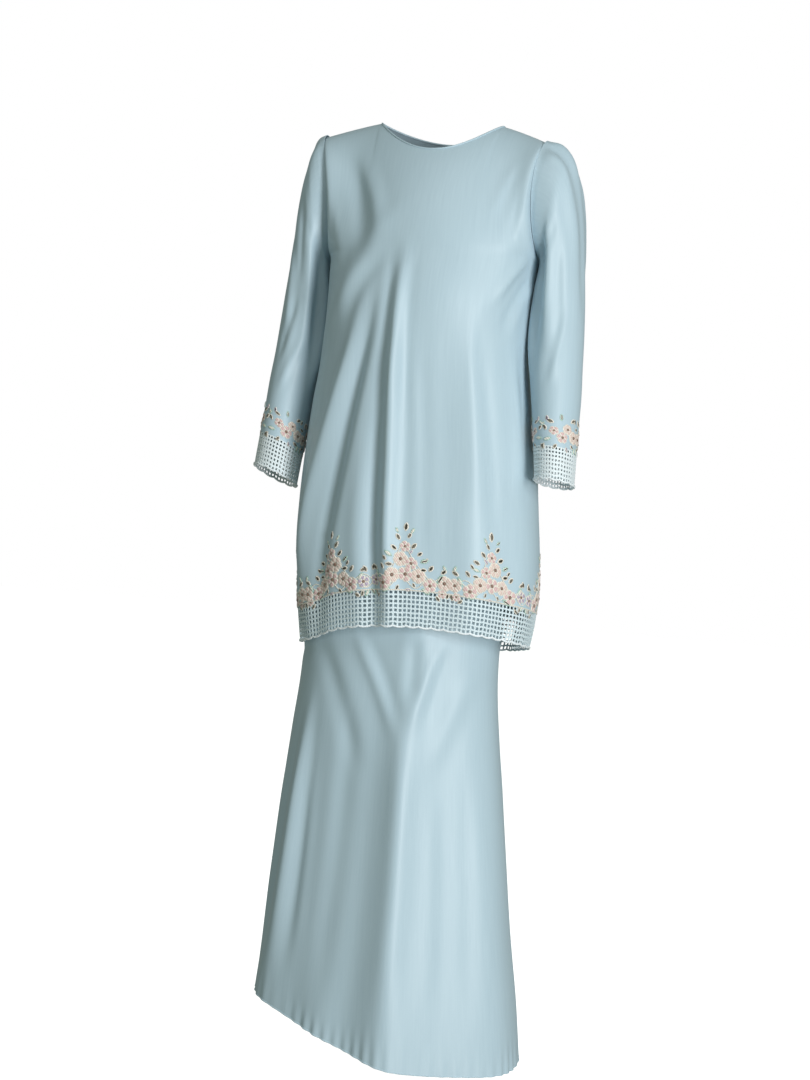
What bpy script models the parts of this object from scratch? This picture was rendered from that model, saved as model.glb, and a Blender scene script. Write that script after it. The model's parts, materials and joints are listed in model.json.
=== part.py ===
"""Baju kurung: a long-sleeved tunic worn over a flared, ankle-length skirt, hollow and hanging as it is worn.

Metres, +Z up. The wearer faces -Y, so +X is the wearer's left. The origin lies midway between the neck ends
of the two shoulder seams, where the shoulders carry the tunic. Heights are given as a drop below that point.
Angles run round the body from the centre front, positive towards the wearer's left: the side seams are at
90 and -90 degrees and the centre back at 180.
"""

import math
from collections import namedtuple

import bmesh
import bpy
import numpy as np

# Cloth walls, and the clearances between pieces
SATIN_WALL = 0.0020
LACE_WALL = 0.0016
WAISTBAND_WALL = 0.0030
SEAM_GAP = 0.0003
ARMHOLE_GAP = 0.0005
SKIRT_CLEARANCE = 0.0007

# Tunic, from the shoulders to the armholes
ARMHOLE_X = 0.165
UNDERARM_DROP = 0.215
NECK_POINT_X = 0.094
NECK_SHARE = NECK_POINT_X / ARMHOLE_X
SHOULDER_CROWN = 0.012
NECK_FRONT_DROP = 0.055
NECK_BACK_DROP = 0.018
SHOULDER_TILT = 0.029
RIGHT_SHOULDER_SLIP = 0.025
SLIP_END_STATION = 4.0

# How each half of the body rounds from the underarm level up to the shoulder seam
Half = namedtuple("Half", "side roundness neck_drop armhole_depth armhole_hollow")
FRONT = Half(side=-1, roundness=4 / 3, neck_drop=NECK_FRONT_DROP, armhole_depth=0.064, armhole_hollow=0.010)
BACK = Half(side=1, roundness=0.91, neck_drop=NECK_BACK_DROP, armhole_depth=0.056, armhole_hollow=0.004)

# Level sections of the tunic below the underarm
Section = namedtuple("Section", "drop half front back shift")
TUNIC = [
    Section(drop=0.215, half=0.1650, front=0.138, back=0.105, shift=0.0000),
    Section(drop=0.290, half=0.1605, front=0.149, back=0.100, shift=-0.0040),
    Section(drop=0.360, half=0.1610, front=0.148, back=0.098, shift=-0.0060),
    Section(drop=0.450, half=0.1735, front=0.146, back=0.104, shift=-0.0060),
    Section(drop=0.530, half=0.1830, front=0.145, back=0.113, shift=-0.0040),
    Section(drop=0.600, half=0.1885, front=0.144, back=0.120, shift=-0.0025),
    Section(drop=0.660, half=0.1915, front=0.143, back=0.124, shift=0.0000),
    Section(drop=0.720, half=0.1885, front=0.141, back=0.125, shift=0.0050),
    Section(drop=0.780, half=0.1820, front=0.138, back=0.123, shift=0.0070),
    Section(drop=0.830, half=0.1730, front=0.134, back=0.119, shift=0.0060),
]
SKIRT = [
    Section(drop=0.405, half=0.1180, front=0.090, back=0.084, shift=-0.0080),
    Section(drop=0.440, half=0.1230, front=0.095, back=0.089, shift=-0.0090),
    Section(drop=0.520, half=0.1500, front=0.111, back=0.108, shift=-0.0120),
    Section(drop=0.600, half=0.1630, front=0.117, back=0.118, shift=-0.0150),
    Section(drop=0.680, half=0.1640, front=0.116, back=0.119, shift=-0.0170),
    Section(drop=0.760, half=0.1590, front=0.115, back=0.115, shift=-0.0185),
    Section(drop=0.850, half=0.1550, front=0.115, back=0.112, shift=-0.0165),
    Section(drop=0.950, half=0.1630, front=0.120, back=0.117, shift=-0.0170),
    Section(drop=1.050, half=0.1740, front=0.130, back=0.129, shift=-0.0155),
    Section(drop=1.150, half=0.1840, front=0.144, back=0.145, shift=-0.0125),
    Section(drop=1.250, half=0.1935, front=0.159, back=0.162, shift=-0.0095),
    Section(drop=1.350, half=0.2045, front=0.173, back=0.178, shift=-0.0055),
    Section(drop=1.480, half=0.2160, front=0.188, back=0.195, shift=-0.0025),
]
SECTION_SQUARENESS = 0.88
COLUMN_EVENING = 0.08

# Soft folds: crests have a positive height and troughs a negative one. They grow from one drop to another,
# drift round the body by some degrees a metre, and some have an end where they have died away again.
HANGS_ON = 99.0
Fold = namedtuple("Fold", "angle width height start full drift end", defaults=(0, HANGS_ON))
TUNIC_FOLDS = [
    Fold(-44, 10, -0.0060, start=0.05, full=0.15, drift=110, end=0.30),
    Fold(-42, 9, 0.0060, start=0.12, full=0.25, drift=-250, end=0.42),
    Fold(60, 9, 0.0040, start=0.10, full=0.20, drift=-110, end=0.36),
    Fold(-60, 9, 0.0040, start=0.34, full=0.52),
    Fold(-44, 7, 0.0055, start=0.20, full=0.50, drift=-87),
    Fold(-31, 6, -0.0080, start=0.20, full=0.50, drift=-56),
    Fold(-21, 5.5, 0.0055, start=0.42, full=0.64),
    Fold(-12, 5.5, -0.0080, start=0.36, full=0.60),
    Fold(-4, 6, 0.0090, start=0.22, full=0.42),
    Fold(23, 13, -0.0055, start=0.26, full=0.50),
    Fold(42, 9, 0.0040, start=0.28, full=0.50),
    Fold(60, 9, -0.0040, start=0.36, full=0.60),
    Fold(112, 9, -0.0050, start=0.36, full=0.58),
    Fold(130, 8, 0.0070, start=0.30, full=0.52, drift=4),
    Fold(150, 9, -0.0070, start=0.28, full=0.50),
    Fold(170, 9, 0.0060, start=0.26, full=0.52),
    Fold(-170, 8, -0.0060, start=0.28, full=0.54),
    Fold(-148, 9, 0.0070, start=0.26, full=0.50, drift=-4),
    Fold(-126, 8, -0.0060, start=0.32, full=0.56),
]
SKIRT_FOLDS = [
    Fold(-78, 8, -0.0040, start=0.95, full=1.30),
    Fold(-57, 9, 0.0070, start=0.84, full=1.10),
    Fold(-34, 12, -0.0080, start=0.84, full=1.10),
    Fold(-8, 13, -0.0080, start=0.82, full=1.10),
    Fold(20, 12, 0.0160, start=0.62, full=1.02, drift=-12),
    Fold(46, 15, -0.0070, start=0.84, full=1.15),
    Fold(72, 12, 0.0040, start=0.95, full=1.30),
    Fold(112, 10, -0.0070, start=0.90, full=1.25),
    Fold(134, 11, 0.0100, start=0.80, full=1.15, drift=3),
    Fold(158, 10, -0.0090, start=0.85, full=1.20),
    Fold(-178, 11, 0.0100, start=0.80, full=1.15),
    Fold(-154, 10, -0.0090, start=0.85, full=1.20),
    Fold(-130, 11, 0.0100, start=0.80, full=1.15, drift=-3),
    Fold(-106, 9, -0.0060, start=0.90, full=1.25),
]

# Hems: how far down they hang round the body
HemPoint = namedtuple("HemPoint", "angle drop")
TUNIC_HEM = [
    HemPoint(-180, 0.816),
    HemPoint(-120, 0.819),
    HemPoint(-85, 0.817),
    HemPoint(-60, 0.809),
    HemPoint(-35, 0.788),
    HemPoint(0, 0.776),
    HemPoint(35, 0.779),
    HemPoint(65, 0.789),
    HemPoint(90, 0.800),
    HemPoint(130, 0.812),
    HemPoint(180, 0.816),
]
SKIRT_HEM = [
    HemPoint(-180, 1.395),
    HemPoint(-125, 1.364),
    HemPoint(-85, 1.352),
    HemPoint(-60, 1.354),
    HemPoint(-35, 1.375),
    HemPoint(0, 1.404),
    HemPoint(30, 1.423),
    HemPoint(60, 1.431),
    HemPoint(100, 1.438),
    HemPoint(140, 1.425),
    HemPoint(180, 1.395),
]
HEM_LACE_HEIGHT = 0.052
CUFF_LACE_HEIGHT = 0.048
SCALLOP_DEPTH = 0.0022
HEM_SCALLOPS = 52
CUFF_SCALLOPS = 12

# Sleeves: the outer line runs over the shoulder and down the arm, the inner line from the underarm down.
# The inner line keeps the given clearance from the tunic's side.
Station = namedtuple("Station", "number outer_x outer_drop inner_drop clearance middle_y depth tilt")
SLEEVE = [
    Station(0, 0.1650, 0.0207, 0.2150, 0.0000, 0.000, 0.064, 0),
    Station(1, 0.1790, 0.0270, 0.2162, 0.0012, 0.000, 0.066, 0),
    Station(2, 0.1930, 0.0370, 0.2180, 0.0020, 0.000, 0.068, 0),
    Station(3, 0.2055, 0.0530, 0.2210, 0.0026, 0.000, 0.069, 0),
    Station(4, 0.2145, 0.0760, 0.2255, 0.0031, 0.001, 0.069, 0),
    Station(5, 0.2215, 0.1060, 0.2330, 0.0036, 0.002, 0.067, 0),
    Station(6, 0.2270, 0.1420, 0.2450, 0.0040, 0.002, 0.065, 0),
    Station(7, 0.2305, 0.1830, 0.2640, 0.0040, 0.002, 0.062, 1),
    Station(8, 0.2335, 0.2280, 0.2900, 0.0040, 0.001, 0.059, 2),
    Station(9, 0.2370, 0.2750, 0.3220, 0.0040, -0.001, 0.056, 3),
    Station(10, 0.2395, 0.3220, 0.3580, 0.0040, -0.004, 0.054, 5),
    Station(11, 0.2412, 0.3680, 0.3950, 0.0040, -0.009, 0.052, 8),
    Station(12, 0.2435, 0.4130, 0.4320, 0.0040, -0.016, 0.050, 11),
    Station(13, 0.2440, 0.4570, 0.4700, 0.0040, -0.024, 0.048, 12),
    Station(14, 0.2450, 0.5000, 0.5100, 0.0040, -0.032, 0.047, 13),
    Station(15, 0.2460, 0.5480, 0.5570, 0.0040, -0.041, 0.046, 13),
]
Arm = namedtuple("Arm", "word side swing lengthening cuff_slant cuff_tilt")
LEFT_ARM = Arm("left", side=1, swing=math.radians(-0.2), lengthening=-0.004, cuff_slant=-0.007, cuff_tilt=0.5)
RIGHT_ARM = Arm("right", side=-1, swing=math.radians(2.2), lengthening=0.007, cuff_slant=0.007, cuff_tilt=1.0)
SWING_PIVOT_DROP = 0.200
Pleat = namedtuple("Pleat", "angle width height")
SLEEVE_HEAD_PLEATS = [
    Pleat(angle=-46, width=9, height=-0.0030),
    Pleat(angle=-27, width=9, height=0.0040),
    Pleat(angle=-9, width=8, height=-0.0030),
    Pleat(angle=9, width=8, height=0.0040),
    Pleat(angle=27, width=9, height=-0.0035),
    Pleat(angle=46, width=9, height=0.0035),
]
PLEAT_END_STATION = 7.0

# Waist of the skirt
WAISTBAND_TOP_DROP = 0.405
WAISTBAND_HEIGHT = 0.034

# Points inside the hollows, from which the cloth's outer side is told
BODY_MIDDLE = np.array([0, 0, -0.30])
HEM_MIDDLE = np.array([0, 0, -0.77])
SKIRT_MIDDLE = np.array([0, 0, -0.90])

# Mesh densities
FRONT_COLUMNS = 40
BACK_COLUMNS = 28
UPPER_ROWS = 10
LOWER_ROWS = 12
SKIRT_ROWS = 10
HIDDEN_ROWS = 6
SLEEVE_COLUMNS = 2 * UPPER_ROWS
CAP_STATIONS = 8
ARM_ROWS = 8
POINTS_PER_SCALLOP = 4

# Shape exponents: how fast columns turn into the armhole's edge, and how round a scallop is
ARMHOLE_EDGE_POWER = 6
SCALLOP_POWER = 0.7

# How finely, and how far to each side, the tunic is felt for when the skirt is kept inside it
RING_SAMPLES = 120
FEEL_ANGLE = math.radians(5)

# Edges sharper than this stay sharp in the shading
SHARP_ANGLE = math.radians(50)


def along(rows, column, at):
    """A table's column as a smooth function of its first column: a cubic through its rows."""
    x = np.array([row[0] for row in rows])
    y = np.array([getattr(row, column) for row in rows])
    slope = np.gradient(y, x)
    at = np.clip(at, x[0], x[-1])
    i = np.clip(np.searchsorted(x, at) - 1, 0, len(x) - 2)
    step = x[i + 1] - x[i]
    f = (at - x[i]) / step
    rise = (3 - 2 * f) * f**2
    return (
        y[i] * (1 - rise)
        + y[i + 1] * rise
        + step * f * (1 - f) * (slope[i] * (1 - f) - slope[i + 1] * f)
    )


def ease(f):
    """0 to 1 with level ends."""
    f = np.clip(f, 0, 1)
    return f * f * (3 - 2 * f)


def bump(degrees, width):
    """A soft hump round 0 degrees."""
    return np.exp(-((((degrees + 180) % 360 - 180) / width) ** 2))


def power(value, exponent):
    """A power that keeps the sign, so that both halves of a section bulge alike."""
    return np.sign(value) * np.abs(value) ** exponent


def turned(t):
    """The section's own angle at column angle t, which spaces columns evenly along the cloth."""
    return t - COLUMN_EVENING * np.sin(2 * t)


def fold_height(folds, t, drop):
    """How far the cloth stands out of its plain section."""
    total = np.zeros(np.broadcast(t, drop).shape)
    for fold in folds:
        centre = fold.angle + fold.drift * (drop - fold.full)
        strength = ease((drop - fold.start) / (fold.full - fold.start))
        strength = strength * ease((fold.end - drop) / (fold.end - fold.full))
        total += fold.height * strength * bump(np.degrees(t) - centre, fold.width)
    return total


def raised(points, angle, half_width, depth, height):
    """Points moved out of their oval section by a height, square to it."""
    out_x, out_y = np.sin(angle) / half_width, -np.cos(angle) / depth
    step = height / np.hypot(out_x, out_y)
    return points + np.stack([out_x * step, out_y * step, 0 * step], axis=-1)


def ring_point(sections, folds, t, drop):
    """The cloth's outer surface at column angle t and this drop, as an array of points."""
    t, drop = np.broadcast_arrays(t, drop)
    angle = turned(t)
    half_width = along(sections, "half", drop)
    depth = np.where(np.cos(angle) > 0, along(sections, "front", drop), along(sections, "back", drop))
    x = along(sections, "shift", drop) + half_width * np.sin(angle)
    y = -depth * power(np.cos(angle), SECTION_SQUARENESS)
    plain = np.stack([x, y, -drop], axis=-1)
    return raised(plain, angle, half_width, depth, fold_height(folds, t, drop))


def ridge(x):
    """Height of the line along which front and back meet over the shoulders."""
    return SHOULDER_CROWN * (1 - (x / NECK_POINT_X) ** 2)


def armhole_point(half, climb):
    """A point of the left armhole, from the underarm at climb 0 to the shoulder seam at climb 1."""
    top = ridge(ARMHOLE_X)
    x = ARMHOLE_X - half.armhole_hollow * np.sin(math.pi * climb) ** 2
    y = half.side * half.armhole_depth * np.sin(math.pi * climb)
    z = -UNDERARM_DROP + (top + UNDERARM_DROP) * (1 - np.cos(math.pi * climb)) / 2
    return x, y, z


def upper_point(half, t, climb):
    """The tunic above the underarm: climb runs from 0 there to 1 at the shoulder seam or the neckline."""
    t, climb = np.broadcast_arrays(t, climb)
    angle = turned(t)
    across = np.abs(np.sin(angle))
    edge_share = across**ARMHOLE_EDGE_POWER
    edge_x, edge_y, edge_z = armhole_point(half, climb)

    # Each column is part of a rounded arc that starts upright. Under the neckline it stops short of its top.
    neck_rise = (UNDERARM_DROP - half.neck_drop) / (UNDERARM_DROP + ridge(0))
    neck_angle = np.arcsin(neck_rise ** (1 / half.roundness))
    within = np.clip(across / NECK_SHARE, 0, 1)
    arc = climb * (math.pi / 2 - (math.pi / 2 - neck_angle) * np.sqrt(1 - within**2))
    edge_rise = (edge_z + UNDERARM_DROP) / (UNDERARM_DROP + ridge(ARMHOLE_X))
    rise = np.sin(arc) ** half.roundness * (1 - edge_share) + edge_rise * edge_share
    z = -UNDERARM_DROP + (UNDERARM_DROP + ridge(ARMHOLE_X * across)) * rise
    start = ring_point(TUNIC, [], t, np.full(t.shape, UNDERARM_DROP))
    y = start[..., 1] * np.cos(arc) ** half.roundness + edge_y * edge_share
    plain = np.stack([edge_x * np.sin(angle), y, z], axis=-1)
    height = fold_height(TUNIC_FOLDS, t, -z) * (1 - edge_share)
    depth = along(TUNIC, "front" if half.side < 0 else "back", UNDERARM_DROP)
    return worn(raised(plain, angle, ARMHOLE_X, depth, height))


def worn(points, slip=1.0):
    """Sets the shoulders as worn: the right one stands higher, and its armhole has slipped outwards."""
    share = np.clip(1 + points[..., 2] / UNDERARM_DROP, 0, None)
    across = points[..., 0].copy()
    points[..., 2] -= SHOULDER_TILT * across * share
    points[..., 0] -= RIGHT_SHOULDER_SLIP * slip * np.clip(-across / ARMHOLE_X, 0, 1) ** 2 * ease(share)
    return points


def outward(points, axis):
    """Unit normals of a grid of points, facing away from the axis points given for its rows."""
    normal = np.cross(np.gradient(points, axis=1), np.gradient(points, axis=0))
    normal /= np.linalg.norm(normal, axis=-1, keepdims=True)
    facing = np.sum(normal * (points - axis), axis=-1).mean()
    return normal * np.sign(facing)


def add_material(name, colour, roughness):
    material = bpy.data.materials.new(name)
    material.use_nodes = True
    shader = material.node_tree.nodes["Principled BSDF"]
    shader.inputs["Base Color"].default_value = (*colour, 1)
    shader.inputs["Roughness"].default_value = roughness
    return material


def add_wall(name, outer, inner, closed, material, collection):
    """A cloth wall between two grids of points. A closed wall joins its last column to its first."""
    rows, columns = outer.shape[:2]
    mesh = bmesh.new()
    skins = [[[mesh.verts.new(p) for p in row] for row in skin.tolist()] for skin in (outer, inner)]
    spans = columns if closed else columns - 1

    def add_strip(a, b):
        for k in range(len(a) - 1):
            mesh.faces.new([a[k], a[k + 1], b[k + 1], b[k]])

    for skin in skins:
        if closed:
            for row in skin:
                row.append(row[0])
        for upper, lower in zip(skin, skin[1:]):
            add_strip(upper, lower)
    for row in (0, rows - 1):
        add_strip(skins[0][row], skins[1][row])
    if not closed:
        for column in (0, columns - 1):
            add_strip(*[[row[column] for row in skin] for skin in skins])
    bmesh.ops.recalc_face_normals(mesh, faces=mesh.faces)
    data = bpy.data.meshes.new(name)
    mesh.to_mesh(data)
    mesh.free()
    data.shade_smooth()
    data.set_sharp_from_angle(angle=SHARP_ANGLE)
    data.materials.append(material)
    wall = bpy.data.objects.new(name, data)
    collection.objects.link(wall)


def panel_angles(half, columns):
    """Column angles of a front or back panel, from side seam to side seam."""
    middle = 0 if half.side < 0 else math.pi
    return middle + np.linspace(-math.pi / 2, math.pi / 2, columns + 1)


def panel_skins(points, axis, half, wall, on_seam):
    """Outer and inner skins of a front or back panel. On seams the wall stands square, half a gap short."""
    normal = outward(points, axis)
    for column in (0, -1):
        side = np.sign(points[0, column, 0])
        normal[:, column, 0] = side * np.clip(side * normal[:, column, 0], 0, None)
    normal[on_seam, 1] = 0
    normal /= np.linalg.norm(normal, axis=-1, keepdims=True)
    points[on_seam, 1] += half.side * SEAM_GAP / 2
    return points, points - wall * normal


def side_seams(points):
    """Marks a panel's two side edges."""
    on_seam = np.zeros(points.shape[:2], bool)
    on_seam[:, [0, -1]] = True
    return on_seam


def hem_drop(hem, t):
    """The drop of a hem at column angle t."""
    degrees = (np.degrees(t) + 180) % 360 - 180
    return along(hem, "drop", degrees)


def add_tunic_panel(name, half, columns, material, collection):
    t = panel_angles(half, columns)
    top_of_lace = hem_drop(TUNIC_HEM, t) - HEM_LACE_HEIGHT - SEAM_GAP / 2
    share = np.linspace(0, 1, LOWER_ROWS + 1)[:-1, None]
    lower = ring_point(TUNIC, TUNIC_FOLDS, t, top_of_lace + (UNDERARM_DROP - top_of_lace) * share)
    upper = upper_point(half, t, np.linspace(0, 1, UPPER_ROWS + 1)[:, None])
    points = np.concatenate([lower, upper])
    on_seam = side_seams(points)
    on_seam[LOWER_ROWS + 1 :] = False
    on_seam[-1] = np.abs(np.sin(turned(t))) > NECK_SHARE
    outer, inner = panel_skins(points, BODY_MIDDLE, half, SATIN_WALL, on_seam)
    add_wall(name, outer, inner, False, material, collection)


def scallop(t, count):
    """How far a scalloped edge hangs below its line: small round tongues, one after another."""
    return SCALLOP_DEPTH * np.abs(np.sin(t * count / 2)) ** SCALLOP_POWER


def add_hem_lace(name, half, material, collection):
    t = panel_angles(half, HEM_SCALLOPS // 2 * POINTS_PER_SCALLOP)
    edge = hem_drop(TUNIC_HEM, t)
    drops = np.stack([edge + scallop(t, HEM_SCALLOPS), edge - HEM_LACE_HEIGHT + SEAM_GAP / 2])
    points = ring_point(TUNIC, TUNIC_FOLDS, t, drops)
    outer, inner = panel_skins(points, HEM_MIDDLE, half, LACE_WALL, side_seams(points))
    add_wall(name, outer, inner, False, material, collection)


def sleeve_point(arm, angle, station):
    """The sleeve's outer surface. Angle 0 is the outer line, 90 the front, 180 the line under the arm."""
    at = Station(*[along(SLEEVE, column, station) for column in Station._fields])
    reach = ease(station / SLEEVE[-1].number)
    outer_drop = at.outer_drop + (arm.lengthening - arm.cuff_slant) * reach
    inner_drop = at.inner_drop + (arm.lengthening + arm.cuff_slant) * reach
    inner_x = along(TUNIC, "half", inner_drop) + arm.side * along(TUNIC, "shift", inner_drop) + at.clearance
    outer_x = at.outer_x + math.tan(arm.swing) * np.clip(outer_drop - SWING_PIVOT_DROP, 0, None)
    front, side = np.sin(angle), np.cos(angle)
    armhole = np.where(front > 0, FRONT.armhole_depth, BACK.armhole_depth)
    depth = at.depth + (armhole - at.depth) * ease(1 - station)
    hollow = np.where(front > 0, FRONT.armhole_hollow, BACK.armhole_hollow) * ease(1 - station / 3)
    pleats = sum(p.height * bump(np.degrees(angle) - p.angle, p.width) for p in SLEEVE_HEAD_PLEATS)
    pleats = pleats * ease(station / 1.5) * ease((PLEAT_END_STATION - station) / (PLEAT_END_STATION - 1))
    half_x, half_z = (outer_x - inner_x) / 2, (inner_drop - outer_drop) / 2
    tilt = np.radians(at.tilt) * arm.cuff_tilt
    x = (outer_x + inner_x) / 2 + (half_x + pleats) * side - hollow * front**2 + ARMHOLE_GAP
    y = at.middle_y - (depth + pleats) * front * np.cos(tilt)
    z = -(inner_drop + outer_drop) / 2 + (half_z + pleats) * side + depth * front * np.sin(tilt)
    points = np.stack(np.broadcast_arrays(arm.side * x, y, z), axis=-1)
    return worn(points, ease(1 - station / SLIP_END_STATION))


def ring_skins(points, wall, square_start=False):
    """Outer and inner skins of a tube whose columns run all the way round."""
    round_it = np.roll(points, -1, axis=1) - np.roll(points, 1, axis=1)
    normal = np.cross(round_it, np.gradient(points, axis=0))
    if square_start:
        normal[0, :, 0] = 0
    normal /= np.linalg.norm(normal, axis=-1, keepdims=True)
    facing = np.sum(normal * (points - points.mean(axis=1, keepdims=True)), axis=-1).mean()
    return points, points - wall * normal * np.sign(facing)


def lace_top_station(gap):
    """Where the cuff's lace begins, as a station number."""
    return SLEEVE[-1].number - (CUFF_LACE_HEIGHT + gap) / (SLEEVE[-1].outer_drop - SLEEVE[-2].outer_drop)


def add_sleeve(name, arm, material, collection):
    angle = np.linspace(0, 2 * math.pi, SLEEVE_COLUMNS, endpoint=False)
    below = np.linspace(CAP_STATIONS, lace_top_station(SEAM_GAP / 2), ARM_ROWS)
    station = np.concatenate([np.arange(CAP_STATIONS), below])[:, None]
    outer, inner = ring_skins(sleeve_point(arm, angle, station), SATIN_WALL, square_start=True)
    add_wall(name, outer, inner, True, material, collection)


def add_cuff_lace(name, arm, material, collection):
    angle = np.linspace(0, 2 * math.pi, CUFF_SCALLOPS * POINTS_PER_SCALLOP, endpoint=False)
    station = np.array([SLEEVE[-1].number, lace_top_station(-SEAM_GAP / 2)])[:, None]
    outer, inner = ring_skins(sleeve_point(arm, angle, station), LACE_WALL)
    hang = (outer[0] - outer[1]) / CUFF_LACE_HEIGHT * scallop(angle, CUFF_SCALLOPS)[:, None]
    outer[0] += hang
    inner[0] += hang
    add_wall(name, outer, inner, True, material, collection)


def inside_tunic(points):
    """Draws points in where they would pass through the tunic, so that they lie against its inside."""
    drop = -points[..., 2]
    ring = np.linspace(-math.pi, math.pi, RING_SAMPLES, endpoint=False)
    cloth = ring_point(TUNIC, TUNIC_FOLDS, ring, np.minimum(drop, TUNIC[-1].drop)[..., None])
    off = np.arctan2(cloth[..., 0], -cloth[..., 1]) - np.arctan2(points[..., 0], -points[..., 1])[..., None]
    nearby = np.abs((off + math.pi) % (2 * math.pi) - math.pi) < FEEL_ANGLE
    room = np.where(nearby, np.hypot(cloth[..., 0], cloth[..., 1]), np.inf).min(axis=-1)
    room += np.clip(drop - TUNIC[-1].drop, 0, None) - SATIN_WALL - SKIRT_CLEARANCE
    points[..., :2] *= np.minimum(1, room / np.hypot(points[..., 0], points[..., 1]))[..., None]
    return points


def add_skirt_panel(name, half, columns, material, collection):
    t = panel_angles(half, columns)
    tunic_hem, skirt_hem = hem_drop(TUNIC_HEM, t), hem_drop(SKIRT_HEM, t)
    top = WAISTBAND_TOP_DROP + WAISTBAND_HEIGHT + SEAM_GAP
    seen = tunic_hem + (skirt_hem - tunic_hem) * np.linspace(1, 0, SKIRT_ROWS + 1)[:, None]
    hidden = tunic_hem + (top - tunic_hem) * np.linspace(0, 1, HIDDEN_ROWS + 1)[1:, None]
    points = inside_tunic(ring_point(SKIRT, SKIRT_FOLDS, t, np.concatenate([seen, hidden])))
    outer, inner = panel_skins(points, SKIRT_MIDDLE, half, SATIN_WALL, side_seams(points))
    add_wall(name, outer, inner, False, material, collection)


def add_waistband(name, material, collection):
    t = np.linspace(-math.pi, math.pi, FRONT_COLUMNS + BACK_COLUMNS, endpoint=False)
    drops = WAISTBAND_TOP_DROP + np.array([[WAISTBAND_HEIGHT], [0]])
    outer, inner = ring_skins(ring_point(SKIRT, [], t, drops), WAISTBAND_WALL)
    add_wall(name, outer, inner, True, material, collection)


def main():
    for leftover in list(bpy.data.objects):
        bpy.data.objects.remove(leftover)
    collection = bpy.data.collections.new("baju_kurung")
    bpy.context.scene.collection.children.link(collection)
    satin = add_material("aqua_satin", (0.45, 0.65, 0.72), 0.45)
    lace = add_material("aqua_lace", (0.56, 0.72, 0.77), 0.75)
    for word, half, columns in (("front", FRONT, FRONT_COLUMNS), ("back", BACK, BACK_COLUMNS)):
        add_tunic_panel(f"tunic_{word}", half, columns, satin, collection)
        add_hem_lace(f"hem_lace_{word}", half, lace, collection)
        add_skirt_panel(f"skirt_{word}", half, columns, satin, collection)
    for arm in (LEFT_ARM, RIGHT_ARM):
        add_sleeve(f"sleeve_{arm.word}", arm, satin, collection)
        add_cuff_lace(f"cuff_lace_{arm.word}", arm, lace, collection)
    add_waistband("skirt_waistband", satin, collection)


main()
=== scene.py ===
"""Looks of the baju kurung: thin satin cloth with its creases, openwork lace borders, embroidered sprays and sewing.

The cloth's form is worked out as the solids' is, from the same named sizes, and then creased more finely.
Metres, +Z up. The wearer faces -Y and +X is the wearer's left. Heights are given as a drop below the shoulders.
Angles run round the body from the centre front, positive towards the wearer's left.
"""

import json
import math
import random
from collections import namedtuple

import bmesh
import bpy
import numpy as np
from mathutils import Matrix, Vector

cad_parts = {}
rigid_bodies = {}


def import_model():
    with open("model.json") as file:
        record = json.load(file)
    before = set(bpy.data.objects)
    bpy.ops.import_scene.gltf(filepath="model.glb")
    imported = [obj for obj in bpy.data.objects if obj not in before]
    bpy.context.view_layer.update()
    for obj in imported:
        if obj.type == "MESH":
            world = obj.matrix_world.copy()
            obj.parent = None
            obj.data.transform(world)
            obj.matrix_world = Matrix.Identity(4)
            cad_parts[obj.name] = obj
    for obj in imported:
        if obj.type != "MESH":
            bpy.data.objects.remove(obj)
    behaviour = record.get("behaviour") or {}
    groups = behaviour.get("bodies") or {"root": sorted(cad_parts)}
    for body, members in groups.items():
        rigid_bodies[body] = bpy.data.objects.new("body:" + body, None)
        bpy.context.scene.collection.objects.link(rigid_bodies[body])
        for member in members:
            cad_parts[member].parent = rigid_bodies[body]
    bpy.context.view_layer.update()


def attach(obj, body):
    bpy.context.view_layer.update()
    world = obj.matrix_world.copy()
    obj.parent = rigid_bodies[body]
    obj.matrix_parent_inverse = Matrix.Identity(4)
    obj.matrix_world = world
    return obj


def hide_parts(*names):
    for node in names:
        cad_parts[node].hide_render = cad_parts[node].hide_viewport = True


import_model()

# Cloth
CLOTH = 0.0010
LACE = 0.0010
SEAM_GAP = 0.00005
ARMHOLE_GAP = 0.0005
SKIRT_CLEARANCE = 0.0022

# Tunic, from the shoulders to the armholes
ARMHOLE_X = 0.165
UNDERARM_DROP = 0.215
NECK_POINT_X = 0.094
NECK_SHARE = NECK_POINT_X / ARMHOLE_X
SHOULDER_CROWN = 0.012
NECK_FRONT_DROP = 0.055
NECK_BACK_DROP = 0.018
SHOULDER_TILT = 0.029
RIGHT_SHOULDER_SLIP = 0.025
SLIP_END_STATION = 4.0

Half = namedtuple("Half", "side roundness neck_drop armhole_depth armhole_hollow")
FRONT = Half(side=-1, roundness=4 / 3, neck_drop=NECK_FRONT_DROP, armhole_depth=0.064, armhole_hollow=0.010)
BACK = Half(side=1, roundness=0.91, neck_drop=NECK_BACK_DROP, armhole_depth=0.056, armhole_hollow=0.004)

# Level sections
Section = namedtuple("Section", "drop half front back shift")
TUNIC = [
    Section(drop=0.215, half=0.1650, front=0.138, back=0.105, shift=0.0000),
    Section(drop=0.290, half=0.1605, front=0.149, back=0.100, shift=-0.0040),
    Section(drop=0.360, half=0.1610, front=0.148, back=0.098, shift=-0.0060),
    Section(drop=0.450, half=0.1735, front=0.146, back=0.104, shift=-0.0060),
    Section(drop=0.530, half=0.1830, front=0.145, back=0.113, shift=-0.0040),
    Section(drop=0.600, half=0.1885, front=0.144, back=0.120, shift=-0.0025),
    Section(drop=0.660, half=0.1915, front=0.143, back=0.124, shift=0.0000),
    Section(drop=0.720, half=0.1885, front=0.141, back=0.125, shift=0.0050),
    Section(drop=0.780, half=0.1820, front=0.138, back=0.123, shift=0.0070),
    Section(drop=0.830, half=0.1730, front=0.134, back=0.119, shift=0.0060),
]
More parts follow.
